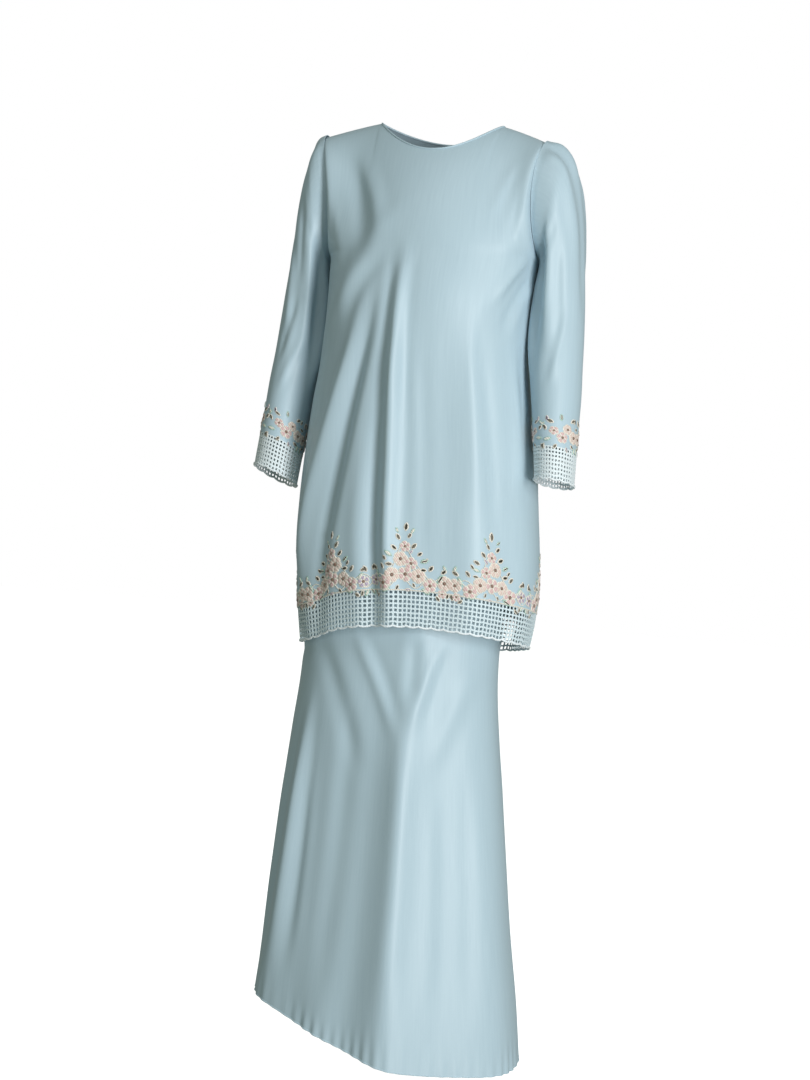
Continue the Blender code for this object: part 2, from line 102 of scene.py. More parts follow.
SKIRT = [
    Section(drop=0.405, half=0.1180, front=0.090, back=0.084, shift=-0.0080),
    Section(drop=0.440, half=0.1230, front=0.095, back=0.089, shift=-0.0090),
    Section(drop=0.520, half=0.1500, front=0.111, back=0.108, shift=-0.0120),
    Section(drop=0.600, half=0.1630, front=0.117, back=0.118, shift=-0.0150),
    Section(drop=0.680, half=0.1640, front=0.116, back=0.119, shift=-0.0170),
    Section(drop=0.760, half=0.1590, front=0.115, back=0.115, shift=-0.0185),
    Section(drop=0.850, half=0.1550, front=0.115, back=0.112, shift=-0.0165),
    Section(drop=0.950, half=0.1630, front=0.120, back=0.117, shift=-0.0170),
    Section(drop=1.050, half=0.1740, front=0.130, back=0.129, shift=-0.0155),
    Section(drop=1.150, half=0.1840, front=0.144, back=0.145, shift=-0.0125),
    Section(drop=1.250, half=0.1935, front=0.159, back=0.162, shift=-0.0095),
    Section(drop=1.350, half=0.2045, front=0.173, back=0.178, shift=-0.0055),
    Section(drop=1.480, half=0.2160, front=0.188, back=0.195, shift=-0.0025),
]
SECTION_SQUARENESS = 0.88
COLUMN_EVENING = 0.08


# Long soft folds, as in the solids
HANGS_ON = 99.0
Fold = namedtuple("Fold", "angle width height start full drift end", defaults=(0, HANGS_ON))
TUNIC_FOLDS = [
    Fold(-44, 10, -0.0060, start=0.05, full=0.15, drift=110, end=0.30),
    Fold(-42, 9, 0.0060, start=0.12, full=0.25, drift=-250, end=0.42),
    Fold(60, 9, 0.0040, start=0.10, full=0.20, drift=-110, end=0.36),
    Fold(-60, 9, 0.0040, start=0.34, full=0.52),
    Fold(-47, 7, 0.0055, start=0.20, full=0.50, drift=-87),
    Fold(-34.5, 6, -0.0080, start=0.20, full=0.50, drift=-56, end=1.0),
    Fold(-21, 6, 0.0034, start=0.44, full=0.64),
    Fold(-12, 6, -0.0070, start=0.34, full=0.60),
    Fold(-4, 6, 0.0090, start=0.22, full=0.42),
    Fold(23, 13, -0.0055, start=0.26, full=0.50),
    Fold(42, 9, 0.0040, start=0.28, full=0.50),
    Fold(60, 9, -0.0040, start=0.36, full=0.60),
    Fold(112, 9, -0.0050, start=0.36, full=0.58),
    Fold(130, 8, 0.0070, start=0.30, full=0.52, drift=4),
    Fold(150, 9, -0.0070, start=0.28, full=0.50),
    Fold(170, 9, 0.0060, start=0.26, full=0.52),
    Fold(-170, 8, -0.0060, start=0.28, full=0.54),
    Fold(-148, 9, 0.0070, start=0.26, full=0.50, drift=-4),
    Fold(-126, 8, -0.0060, start=0.32, full=0.56),
]
SKIRT_FOLDS = [
    Fold(-78, 8, -0.0040, start=0.95, full=1.30),
    Fold(-57, 9, 0.0070, start=0.84, full=1.10),
    Fold(-34, 12, -0.0080, start=0.84, full=1.10),
    Fold(-8, 13, -0.0080, start=0.82, full=1.10),
    Fold(20, 12, 0.0160, start=0.62, full=1.02, drift=-12),
    Fold(46, 15, -0.0070, start=0.84, full=1.15),
    Fold(72, 12, 0.0040, start=0.95, full=1.30),
    Fold(112, 10, -0.0070, start=0.90, full=1.25),
    Fold(134, 11, 0.0100, start=0.80, full=1.15, drift=3),
    Fold(158, 10, -0.0090, start=0.85, full=1.20),
    Fold(-178, 11, 0.0100, start=0.80, full=1.15),
    Fold(-154, 10, -0.0090, start=0.85, full=1.20),
    Fold(-130, 11, 0.0100, start=0.80, full=1.15, drift=-3),
    Fold(-106, 9, -0.0060, start=0.90, full=1.25),
]


# Smaller creases lie along a line from one angle and drop to another. The sway bows the line to one side.
Crease = namedtuple("Crease", "angle drop to_angle to_drop width height sway")
TUNIC_CREASES = [
    Crease(-13, 0.190, -12, 0.480, 0.0110, -0.0035, 0.001),
    Crease(-5, 0.190, -4, 0.480, 0.0110, 0.0040, 0.001),
    Crease(-12, 0.380, -12, 0.800, 0.0110, -0.0030, 0.001),
    Crease(-4, 0.300, -4, 0.800, 0.0110, 0.0035, 0.001),
    Crease(-20, 0.250, -50, 0.770, 0.0120, -0.0035, 0.000),
    Crease(-29, 0.270, -65, 0.720, 0.0120, 0.0032, 0.000),
    Crease(-58, 0.380, -70, 0.760, 0.0120, -0.0030, 0.003),
    Crease(41, 0.280, 42, 0.640, 0.0120, 0.0022, 0.003),
    Crease(12, 0.300, 14, 0.760, 0.0140, -0.0018, 0.003),
    Crease(-64, 0.050, -34, 0.240, 0.024, -0.0034, 0.010),
    Crease(-52, 0.060, -24, 0.200, 0.016, 0.0022, 0.008),
    Crease(-74, 0.120, -52, 0.270, 0.015, 0.0024, 0.008),
    Crease(-20, 0.200, -52, 0.330, 0.014, 0.0036, -0.008),
    Crease(3, 0.330, 7, 0.720, 0.010, -0.0015, 0.003),
    Crease(50, 0.320, 52, 0.700, 0.012, -0.0022, 0.004),
    Crease(78, 0.200, 52, 0.300, 0.010, 0.0045, -0.008),
    Crease(84, 0.225, 60, 0.345, 0.011, -0.0045, -0.008),
    Crease(72, 0.330, 68, 0.600, 0.011, 0.0030, 0.004),
    Crease(64, 0.060, 44, 0.170, 0.012, 0.0022, -0.006),
    Crease(74, 0.110, 56, 0.210, 0.010, -0.0025, -0.004),
    Crease(-72, 0.420, -70, 0.720, 0.010, -0.0025, 0.003),
    Crease(108, 0.200, 138, 0.330, 0.012, -0.0040, -0.008),
    Crease(116, 0.100, 146, 0.240, 0.012, 0.0035, -0.008),
    Crease(126, 0.070, 160, 0.160, 0.012, -0.0025, -0.006),
    Crease(-108, 0.200, -138, 0.330, 0.012, -0.0040, 0.008),
    Crease(-116, 0.100, -146, 0.240, 0.012, 0.0035, 0.008),
    Crease(-126, 0.070, -160, 0.160, 0.012, -0.0025, 0.006),
    Crease(-160, 0.300, -158, 0.660, 0.011, 0.0025, 0.004),
    Crease(160, 0.320, 159, 0.700, 0.011, -0.0025, 0.004),
    Crease(140, 0.340, 141, 0.640, 0.009, 0.0022, 0.003),
    Crease(-137, 0.360, -138, 0.660, 0.009, -0.0022, 0.003),
    Crease(100, 0.360, 103, 0.640, 0.010, 0.0030, 0.003),
    Crease(-100, 0.360, -99, 0.640, 0.010, 0.0030, 0.003),
]
SKIRT_CREASES = [
    Crease(-18, 0.850, -24, 1.420, 0.021, -0.0050, 0.004),
    Crease(18, 0.870, 13, 1.420, 0.016, 0.0045, 0.004),
    Crease(-50, 0.860, -52, 1.350, 0.011, 0.0045, 0.004),
    Crease(-58, 0.880, -61, 1.340, 0.010, -0.0040, 0.004),
    Crease(-52, 0.790, -8, 1.020, 0.018, -0.0035, 0.010),
    Crease(-22, 0.780, 16, 0.960, 0.012, 0.0040, 0.006),
    Crease(44, 0.780, 20, 0.950, 0.012, 0.0035, -0.006),
    Crease(22, 0.780, 20, 0.900, 0.014, -0.0045, 0.002),
    Crease(66, 0.830, 32, 1.010, 0.018, 0.0028, -0.010),
    Crease(-70, 0.900, -66, 1.320, 0.010, 0.0025, 0.006),
    Crease(-46, 0.980, -44, 1.330, 0.010, -0.0022, 0.004),
    Crease(36, 0.980, 33, 1.400, 0.014, 0.0020, 0.006),
    Crease(56, 0.950, 56, 1.400, 0.014, -0.0020, 0.006),
    Crease(100, 0.860, 104, 1.360, 0.011, 0.0030, 0.006),
    Crease(146, 0.860, 146, 1.360, 0.012, -0.0030, 0.004),
    Crease(-144, 0.860, -142, 1.340, 0.012, -0.0030, 0.004),
    Crease(-118, 0.880, -118, 1.330, 0.011, 0.0028, 0.004),
    Crease(168, 0.850, 170, 1.370, 0.012, 0.0030, 0.004),
]

# Hems
HemPoint = namedtuple("HemPoint", "angle drop")
TUNIC_HEM = [
    HemPoint(-180, 0.816),
    HemPoint(-120, 0.819),
    HemPoint(-85, 0.817),
    HemPoint(-60, 0.809),
    HemPoint(-35, 0.788),
    HemPoint(0, 0.776),
    HemPoint(35, 0.779),
    HemPoint(65, 0.789),
    HemPoint(90, 0.800),
    HemPoint(130, 0.812),
    HemPoint(180, 0.816),
]
SKIRT_HEM = [
    HemPoint(-180, 1.395),
    HemPoint(-125, 1.364),
    HemPoint(-85, 1.352),
    HemPoint(-60, 1.354),
    HemPoint(-35, 1.375),
    HemPoint(0, 1.404),
    HemPoint(30, 1.423),
    HemPoint(60, 1.431),
    HemPoint(100, 1.438),
    HemPoint(140, 1.425),
    HemPoint(180, 1.395),
]
HEM_LACE_HEIGHT = 0.052
CUFF_LACE_HEIGHT = 0.048
SCALLOP_DEPTH = 0.0022
HEM_SCALLOPS = 52
CUFF_SCALLOPS = 12

WAISTBAND_TOP_DROP = 0.405
WAISTBAND_HEIGHT = 0.034


# Sleeves
Station = namedtuple("Station", "number outer_x outer_drop inner_drop clearance middle_y depth tilt")
SLEEVE = [
    Station(0, 0.1650, 0.0207, 0.2150, 0.0000, 0.000, 0.064, 0),
    Station(1, 0.1790, 0.0270, 0.2162, 0.0012, 0.000, 0.066, 0),
    Station(2, 0.1930, 0.0370, 0.2180, 0.0020, 0.000, 0.068, 0),
    Station(3, 0.2055, 0.0530, 0.2210, 0.0026, 0.000, 0.069, 0),
    Station(4, 0.2145, 0.0760, 0.2255, 0.0031, 0.001, 0.069, 0),
    Station(5, 0.2215, 0.1060, 0.2330, 0.0036, 0.002, 0.067, 0),
    Station(6, 0.2270, 0.1420, 0.2450, 0.0040, 0.002, 0.065, 0),
    Station(7, 0.2305, 0.1830, 0.2640, 0.0040, 0.002, 0.062, 1),
    Station(8, 0.2335, 0.2280, 0.2900, 0.0040, 0.001, 0.059, 2),
    Station(9, 0.2370, 0.2750, 0.3220, 0.0040, -0.001, 0.056, 3),
    Station(10, 0.2395, 0.3220, 0.3580, 0.0040, -0.004, 0.054, 5),
    Station(11, 0.2412, 0.3680, 0.3950, 0.0040, -0.009, 0.052, 8),
    Station(12, 0.2435, 0.4130, 0.4320, 0.0040, -0.016, 0.050, 11),
    Station(13, 0.2440, 0.4570, 0.4700, 0.0040, -0.024, 0.048, 12),
    Station(14, 0.2450, 0.5000, 0.5100, 0.0040, -0.032, 0.047, 13),
    Station(15, 0.2460, 0.5480, 0.5570, 0.0040, -0.041, 0.046, 13),
]
Arm = namedtuple("Arm", "word side swing lengthening cuff_slant cuff_tilt")
LEFT_ARM = Arm("left", side=1, swing=math.radians(-0.2), lengthening=-0.004, cuff_slant=-0.007, cuff_tilt=0.5)
RIGHT_ARM = Arm("right", side=-1, swing=math.radians(2.2), lengthening=0.007, cuff_slant=0.007, cuff_tilt=1.0)
SWING_PIVOT_DROP = 0.200
Pleat = namedtuple("Pleat", "angle width height")
SLEEVE_HEAD_PLEATS = [
    Pleat(angle=-46, width=9, height=-0.0030),
    Pleat(angle=-27, width=9, height=0.0040),
    Pleat(angle=-9, width=8, height=-0.0030),
    Pleat(angle=9, width=8, height=0.0040),
    Pleat(angle=27, width=9, height=-0.0035),
    Pleat(angle=46, width=9, height=0.0035),
]
PLEAT_END_STATION = 7.0
RIGHT_PLEAT_SHARE = 0.25


# Creases of a sleeve go from one angle and station to another. Angle 0 is the outer line and 90 the front.
RIGHT_SLEEVE_CREASES = [
    Crease(134, 2.5, 138, 12.5, 0.0085, -0.0070, 0.003),
    Crease(106, 3.0, 112, 12.0, 0.0080, 0.0035, 0.003),
    Crease(160, 5.0, 158, 12.0, 0.0070, 0.0030, 0.002),
    Crease(70, 4.0, 84, 9.0, 0.0090, -0.0030, 0.004),
    Crease(40, 6.5, 70, 10.5, 0.0085, 0.0025, 0.003),
    Crease(95, 8.0, 60, 11.5, 0.0075, -0.0025, -0.003),
    Crease(120, 9.5, 80, 12.5, 0.0070, 0.0022, -0.002),
    Crease(20, 3.0, 34, 8.0, 0.0090, -0.0022, 0.003),
    Crease(-30, 3.0, -45, 9.0, 0.0090, 0.0028, 0.003),
    Crease(-70, 4.0, -62, 10.0, 0.0085, -0.0035, 0.004),
    Crease(-110, 5.0, -100, 11.5, 0.0080, 0.0032, 0.003),
    Crease(-146, 4.0, -150, 11.0, 0.0080, -0.0040, 0.002),
]
LEFT_SLEEVE_CREASES = [
    Crease(138, 1.5, 128, 11.5, 0.0090, -0.0080, 0.004),
    Crease(108, 2.0, 100, 11.0, 0.0080, 0.0040, 0.003),
    Crease(162, 4.0, 150, 12.0, 0.0075, 0.0035, 0.003),
    Crease(80, 5.0, 66, 11.5, 0.0095, -0.0028, 0.004),
    Crease(52, 3.0, 30, 8.0, 0.0090, 0.0025, 0.003),
    Crease(60, 9.0, 96, 12.0, 0.0075, 0.0024, -0.003),
    Crease(18, 4.0, 8, 10.0, 0.0090, -0.0022, 0.003),
    Crease(-30, 3.0, -45, 9.0, 0.0090, 0.0028, 0.003),
    Crease(-70, 4.0, -62, 10.0, 0.0085, -0.0035, 0.004),
    Crease(-110, 5.0, -100, 11.5, 0.0080, 0.0032, 0.003),
    Crease(-146, 4.0, -150, 11.0, 0.0080, -0.0040, 0.002),
]
CREASE_RISE = 0.35
CREASE_ANSWER = 0.35
CREASE_ANSWER_PLACE = 1.7
BODY_RADIUS = 0.165
SLEEVE_RADIUS = 0.045
STATION_LENGTH = 0.042

Cloth = namedtuple("Cloth", "sections folds creases")
TUNIC_CLOTH = Cloth(TUNIC, TUNIC_FOLDS, TUNIC_CREASES)
SKIRT_CLOTH = Cloth(SKIRT, SKIRT_FOLDS, SKIRT_CREASES)

# Skirt hem: rolled edge and the small puckers that its overlocking draws up
HEM_ROLL = 0.0022
PUCKER_PITCH = 0.017
PUCKER_RISE = 0.034
PUCKER_HEIGHT = 0.0016

# Finer sizes of the cloth, the net and the sewing
EDGE = 1e-6
LOWER_SHARE = 0.68
SEAM_MERGE = 1e-5
SMOOTH_ANGLE = math.radians(50)
ROOM_ROWS, ROOM_COLUMNS, ROOM_NEIGHBOURS = 90, 720, 5
ROOM_SOFTNESS = 0.006
WAIST_GATHERS, GATHER_HEIGHT = 46, 0.0009
HEM_THREAD, CUFF_THREAD = 0.0026, 0.0031
HEM_NET_COLUMNS, HEM_NET_ROWS = 78, 8
CUFF_NET_COLUMNS, CUFF_NET_ROWS = 42, 8
CORD_RADIUS = 0.0016
NECK_BINDING_RADIUS = 0.0016
BED_STEPS, BED_HEIGHT, BED_REACH = 1440, 0.06, 0.004
PETAL_WIDTH = 1.10
SPRAYS, SPRAY_SHIFT, SPRAY_WIDTH, SPRAY_LIFT = 8, 0.018, 0.122, -0.004
CUFF_SPRAYS, CUFF_SPRAY_WIDTH = 4, 0.056

# Studio
MIDDLE = Vector((0, 0, -0.6495))
CAMERA_AZIMUTH = 15
CAMERA_DISTANCE = 2.6
CAMERA_LEFT = 0.0206
CAMERA_ROLL = 3.77
METRES_PER_PIXEL = 0.00156
FLOOR_SIZE, FLOOR_Z, FLOOR_GLOW = 30, -1.50, 0.93
FILL = 0.26


def along(rows, column, at):
    """A table's column as a smooth function of its first column."""
    x = np.array([row[0] for row in rows])
    y = np.array([getattr(row, column) for row in rows])
    slope = np.gradient(y, x)
    at = np.clip(at, x[0], x[-1])
    i = np.clip(np.searchsorted(x, at) - 1, 0, len(x) - 2)
    step = x[i + 1] - x[i]
    f = (at - x[i]) / step
    rise = (3 - 2 * f) * f**2
    return (
        y[i] * (1 - rise)
        + y[i + 1] * rise
        + step * f * (1 - f) * (slope[i] * (1 - f) - slope[i + 1] * f)
    )


def ease(f):
    """0 to 1 with level ends."""
    f = np.clip(f, 0, 1)
    return f * f * (3 - 2 * f)


def bump(degrees, width):
    """A soft hump round 0 degrees."""
    return np.exp(-((((degrees + 180) % 360 - 180) / width) ** 2))


def power(value, exponent):
    return np.sign(value) * np.abs(value) ** exponent


def turned(t):
    """The section's own angle at column angle t, which spaces columns evenly along the cloth."""
    return t - COLUMN_EVENING * np.sin(2 * t)


def fold_height(folds, t, drop):
    """How far the cloth stands out of its plain section."""
    total = np.zeros(np.broadcast(t, drop).shape)
    for fold in folds:
        centre = fold.angle + fold.drift * (drop - fold.full)
        strength = ease((drop - fold.start) / (fold.full - fold.start))
        strength = strength * ease((fold.end - drop) / (fold.end - fold.full))
        total += fold.height * strength * bump(np.degrees(t) - centre, fold.width)
    return total


def crease_height(creases, degrees, down, radius, step=1.0):
    """Small creases: a soft trough or ridge along each line, with a lesser one of the other sign beside it."""
    total = np.zeros(np.broadcast(degrees, down).shape)
    for c in creases:
        middle = (c.angle + c.to_angle) / 2
        across = np.radians((degrees - middle + 180) % 360 - 180) * radius
        start_x, start_y = math.radians(c.angle - middle) * radius, c.drop * step
        run_x, run_y = math.radians(c.to_angle - c.angle) * radius, (c.to_drop - c.drop) * step
        length = math.hypot(run_x, run_y)
        share = ((across - start_x) * run_x + (down * step - start_y) * run_y) / length**2
        off = ((across - start_x) * run_y - (down * step - start_y) * run_x) / length
        off = off - c.sway * np.sin(math.pi * np.clip(share, 0, 1))
        strength = ease(share / CREASE_RISE) * ease((1 - share) / CREASE_RISE)
        beside = CREASE_ANSWER * np.exp(-((off / c.width - CREASE_ANSWER_PLACE) ** 2))
        total += c.height * strength * (np.exp(-((off / c.width) ** 2)) - beside)
    return total


def relief(cloth, t, drop):
    """All that stands out of a cloth's plain sections."""
    return fold_height(cloth.folds, t, drop) + crease_height(cloth.creases, np.degrees(t), drop, BODY_RADIUS)


def raised(points, angle, half_width, depth, height):
    """Points moved out of their oval section by a height, square to it."""
    out_x, out_y = np.sin(angle) / half_width, -np.cos(angle) / depth
    step = height / np.hypot(out_x, out_y)
    return points + np.stack([out_x * step, out_y * step, 0 * step], axis=-1)


def ring_point(cloth, t, drop):
    """The cloth's outer surface at column angle t and this drop, as an array of points."""
    t, drop = np.broadcast_arrays(t, drop)
    angle = turned(t)
    half_width = along(cloth.sections, "half", drop)
    front, back = along(cloth.sections, "front", drop), along(cloth.sections, "back", drop)
    depth = np.where(np.cos(angle) > 0, front, back)
    x = along(cloth.sections, "shift", drop) + half_width * np.sin(angle)
    y = -depth * power(np.cos(angle), SECTION_SQUARENESS)
    plain = np.stack([x, y, -drop], axis=-1)
    return raised(plain, angle, half_width, depth, relief(cloth, t, drop))


def ridge(x):
    """Height of the line along which front and back meet over the shoulders."""
    return SHOULDER_CROWN * (1 - (x / NECK_POINT_X) ** 2)


def armhole_point(half, climb):
    """A point of the left armhole, from the underarm at climb 0 to the shoulder seam at climb 1."""
    top = ridge(ARMHOLE_X)
    x = ARMHOLE_X - half.armhole_hollow * np.sin(math.pi * climb) ** 2
    y = half.side * half.armhole_depth * np.sin(math.pi * climb)
    z = -UNDERARM_DROP + (top + UNDERARM_DROP) * (1 - np.cos(math.pi * climb)) / 2
    return x, y, z


def upper_point(half, t, climb):
    """The tunic above the underarm: climb runs from 0 there to 1 at the shoulder seam or the neckline."""
    t, climb = np.broadcast_arrays(t, climb)
    angle = turned(t)
    across = np.abs(np.sin(angle))
    edge_share = across**6
    edge_x, edge_y, edge_z = armhole_point(half, climb)

    # Each column is part of a rounded arc that starts upright. Under the neckline it stops short of its top.
    neck_rise = (UNDERARM_DROP - half.neck_drop) / (UNDERARM_DROP + ridge(0))
    neck_angle = np.arcsin(neck_rise ** (1 / half.roundness))
    within = np.clip(across / NECK_SHARE, 0, 1)
    arc = climb * (math.pi / 2 - (math.pi / 2 - neck_angle) * np.sqrt(1 - within**2))
    edge_rise = (edge_z + UNDERARM_DROP) / (UNDERARM_DROP + ridge(ARMHOLE_X))
    rise = np.sin(arc) ** half.roundness * (1 - edge_share) + edge_rise * edge_share
    z = -UNDERARM_DROP + (UNDERARM_DROP + ridge(ARMHOLE_X * across)) * rise
    start = ring_point(Cloth(TUNIC, [], []), t, np.full(t.shape, UNDERARM_DROP))
    y = start[..., 1] * np.cos(arc) ** half.roundness + edge_y * edge_share
    plain = np.stack([edge_x * np.sin(angle), y, z], axis=-1)
    height = relief(TUNIC_CLOTH, t, -z) * (1 - edge_share)
    depth = along(TUNIC, "front" if half.side < 0 else "back", UNDERARM_DROP)
    return worn(raised(plain, angle, ARMHOLE_X, depth, height))


def worn(points, slip=1.0):
    """Sets the shoulders as worn: the right one stands higher, and its armhole has slipped outwards."""
    share = np.clip(1 + points[..., 2] / UNDERARM_DROP, 0, None)
    across = points[..., 0].copy()
    points[..., 2] -= SHOULDER_TILT * across * share
    points[..., 0] -= RIGHT_SHOULDER_SLIP * slip * np.clip(-across / ARMHOLE_X, 0, 1) ** 2 * ease(share)
    return points


def hem_drop(hem, t):
    degrees = (np.degrees(t) + 180) % 360 - 180
    return along(hem, "drop", degrees)


def scallop(t, count):
    """How far a scalloped edge hangs below its line: small round tongues, one after another."""
    return SCALLOP_DEPTH * np.abs(np.sin(t * count / 2)) ** 0.7


def panel_angle(half, across):
    """Column angle of a front or back panel, from one side seam (0) to the other (1)."""
    return (0 if half.side < 0 else math.pi) + (across - 0.5) * math.pi


def sleeve_point(arm, angle, station):
    """The sleeve's outer surface. Angle 0 is the outer line, 90 the front, 180 the line under the arm."""
    at = Station(*[along(SLEEVE, column, station) for column in Station._fields])
    reach = ease(station / SLEEVE[-1].number)
    outer_drop = at.outer_drop + (arm.lengthening - arm.cuff_slant) * reach
    inner_drop = at.inner_drop + (arm.lengthening + arm.cuff_slant) * reach
    inner_x = along(TUNIC, "half", inner_drop) + arm.side * along(TUNIC, "shift", inner_drop) + at.clearance
    outer_x = at.outer_x + math.tan(arm.swing) * np.clip(outer_drop - SWING_PIVOT_DROP, 0, None)
    front, side = np.sin(angle), np.cos(angle)
    armhole = np.where(front > 0, FRONT.armhole_depth, BACK.armhole_depth)
    depth = at.depth + (armhole - at.depth) * ease(1 - station)
    hollow = np.where(front > 0, FRONT.armhole_hollow, BACK.armhole_hollow) * ease(1 - station / 3)
    pleats = sum(p.height * bump(np.degrees(angle) - p.angle, p.width) for p in SLEEVE_HEAD_PLEATS)
    pleats = pleats * ease(station / 1.5) * ease((PLEAT_END_STATION - station) / (PLEAT_END_STATION - 1))
    pleats = pleats * (1 if arm.side > 0 else RIGHT_PLEAT_SHARE)
    creases = RIGHT_SLEEVE_CREASES if arm.side < 0 else LEFT_SLEEVE_CREASES
    pleats = pleats + crease_height(creases, np.degrees(angle), station, SLEEVE_RADIUS, STATION_LENGTH)
    half_x, half_z = (outer_x - inner_x) / 2, (inner_drop - outer_drop) / 2
    tilt = np.radians(at.tilt) * arm.cuff_tilt
    x = (outer_x + inner_x) / 2 + (half_x + pleats) * side - hollow * front**2 + ARMHOLE_GAP
    y = at.middle_y - (depth + pleats) * front * np.cos(tilt)
    z = -(inner_drop + outer_drop) / 2 + (half_z + pleats) * side + depth * front * np.sin(tilt)
    points = np.stack(np.broadcast_arrays(arm.side * x, y, z), axis=-1)
    return worn(points, ease(1 - station / SLIP_END_STATION))


def cuff_station(up):
    """The station that lies this far above the cuff's edge."""
    return SLEEVE[-1].number - up / (SLEEVE[-1].outer_drop - SLEEVE[-2].outer_drop)


def room_in_tunic():
    """How far from the middle a skirt under the tunic may reach: a table over drops and polar angles."""
    drops = np.linspace(WAISTBAND_TOP_DROP, TUNIC[-1].drop, ROOM_ROWS)
    cloth = ring_point(TUNIC_CLOTH, np.linspace(-math.pi, math.pi, 2 * ROOM_COLUMNS)[None, :], drops[:, None])
    polar = np.arctan2(cloth[..., 0], -cloth[..., 1])
    reach = np.hypot(cloth[..., 0], cloth[..., 1])
    angles = np.linspace(-math.pi, math.pi, ROOM_COLUMNS, endpoint=False)
    table = np.array([np.interp(angles, p, r, period=2 * math.pi) for p, r in zip(polar, reach)])
    nearby = range(-ROOM_NEIGHBOURS, ROOM_NEIGHBOURS + 1)
    return np.min([np.roll(table, k, axis=1) for k in nearby], axis=0)


def inside_tunic(points, room):
    """Draws points in where they would pass through the tunic, so that they lie against its inside."""
    drop = -points[..., 2]
    share = (drop - WAISTBAND_TOP_DROP) / (TUNIC[-1].drop - WAISTBAND_TOP_DROP) * (ROOM_ROWS - 1)
    row = np.clip(share, 0, ROOM_ROWS - 1.001)
    column = (np.arctan2(points[..., 0], -points[..., 1]) + math.pi) / (2 * math.pi) * ROOM_COLUMNS
    i, j = row.astype(int), column.astype(int) % ROOM_COLUMNS
    down, over = row - i, column - np.floor(column)
    after = (j + 1) % ROOM_COLUMNS
    upper = room[i, j] * (1 - over) + room[i, after] * over
    lower = room[i + 1, j] * (1 - over) + room[i + 1, after] * over
    reach = upper * (1 - down) + lower * down
    reach = reach + 0.5 * np.clip(drop - TUNIC[-1].drop, 0, None) - SKIRT_CLEARANCE
    radius = np.hypot(points[..., 0], points[..., 1])
    drawn_in = (reach + radius - np.hypot(reach - radius, ROOM_SOFTNESS)) / 2
    points[..., :2] *= (drawn_in / radius)[..., None]
    return points


def pucker(t, above_hem):
    """Small wrinkles that the overlocked hem draws up, radiating upwards and uneven in length and strength."""
    turn = t * BODY_RADIUS / PUCKER_PITCH * 2 * math.pi
    strength = 0.55 + 0.45 * np.sin(3.1 * t + 0.4) * np.sin(7.3 * t + 1.1)
    rise = PUCKER_RISE * (0.75 + 0.25 * np.sin(5 * t))
    return PUCKER_HEIGHT * strength * np.sin(turn + 1.3 * np.sin(4.7 * t)) * np.exp(-((above_hem / rise) ** 2))


# Cloth is cut as a flat grid, and its points are then set where the garment's form puts them.


def cut_grid(name, columns, rows, width, height):
    """A flat piece of cloth, its corner at the origin, with a UV map in metres."""
    bpy.ops.object.select_all(action="DESELECT")
    bpy.ops.mesh.primitive_grid_add(x_subdivisions=columns, y_subdivisions=rows, size=1)
    piece = bpy.context.object
    piece.name = piece.data.name = name
    piece.location = (width / 2, height / 2, 0)
    piece.scale = (width, height, 1)
    bpy.ops.object.transform_apply(location=True, rotation=False, scale=True)
    uv = piece.data.uv_layers.active.data
    values = np.empty(len(uv) * 2)
    uv.foreach_get("uv", values)
    uv.foreach_set("uv", (values.reshape(-1, 2) * (width, height)).ravel())
    return piece


def read_points(piece):
    values = np.empty(len(piece.data.vertices) * 3)
    piece.data.vertices.foreach_get("co", values)
    return values.reshape(-1, 3)


def set_points(piece, points):
    piece.data.vertices.foreach_set("co", np.asarray(points, dtype=np.float64).ravel())
    piece.data.update()


def hang(piece, width, height, surface):
    """Sets a flat piece where the garment's form puts it. surface takes shares across and up, from 0 to 1."""
    flat = read_points(piece)
    set_points(piece, surface(flat[:, 0] / width, flat[:, 1] / height))


def close_seam(piece):
    bpy.ops.object.mode_set(mode="EDIT")
    bpy.ops.mesh.select_all(action="SELECT")
    bpy.ops.mesh.remove_doubles(threshold=SEAM_MERGE)
    bpy.ops.object.mode_set(mode="OBJECT")


def ease_level(piece, drop, reach, times):
    """Rubs out the edge where the chest's rounding begins, with a smoothing in edit mode."""
    points = read_points(piece)
    level = np.abs(points[:, 2] + drop)
    bpy.ops.object.mode_set(mode="EDIT")
    bpy.ops.mesh.select_all(action="SELECT")
    bpy.ops.mesh.region_to_loop()
    bpy.ops.mesh.select_mode(type="VERT")
    bpy.ops.object.mode_set(mode="OBJECT")
    border = np.empty(len(points), dtype=bool)
    piece.data.vertices.foreach_get("select", border)
    bpy.ops.object.mode_set(mode="EDIT")
    bpy.ops.mesh.select_all(action="DESELECT")
    bpy.ops.object.mode_set(mode="OBJECT")
    piece.data.vertices.foreach_set("select", (level < reach) & ~border)
    bpy.ops.object.mode_set(mode="EDIT")
    bpy.ops.mesh.vertices_smooth(factor=0.5, repeat=times)
    bpy.ops.object.mode_set(mode="OBJECT")


def thicken(piece, thickness):
    """Gives the cloth its thickness, inwards from the form."""
    wall = piece.modifiers.new("thickness", "SOLIDIFY")
    wall.thickness = thickness
    wall.offset = -1
    wall.use_even_offset = False
    bpy.ops.object.modifier_apply(modifier=wall.name)
    bpy.ops.object.shade_smooth_by_angle(angle=SMOOTH_ANGLE)


def finish_piece(piece, material, node=None):
    if not piece.data.materials:
        piece.data.materials.append(material)
    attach(piece, "root")
    if node:
        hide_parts(node)
    return piece


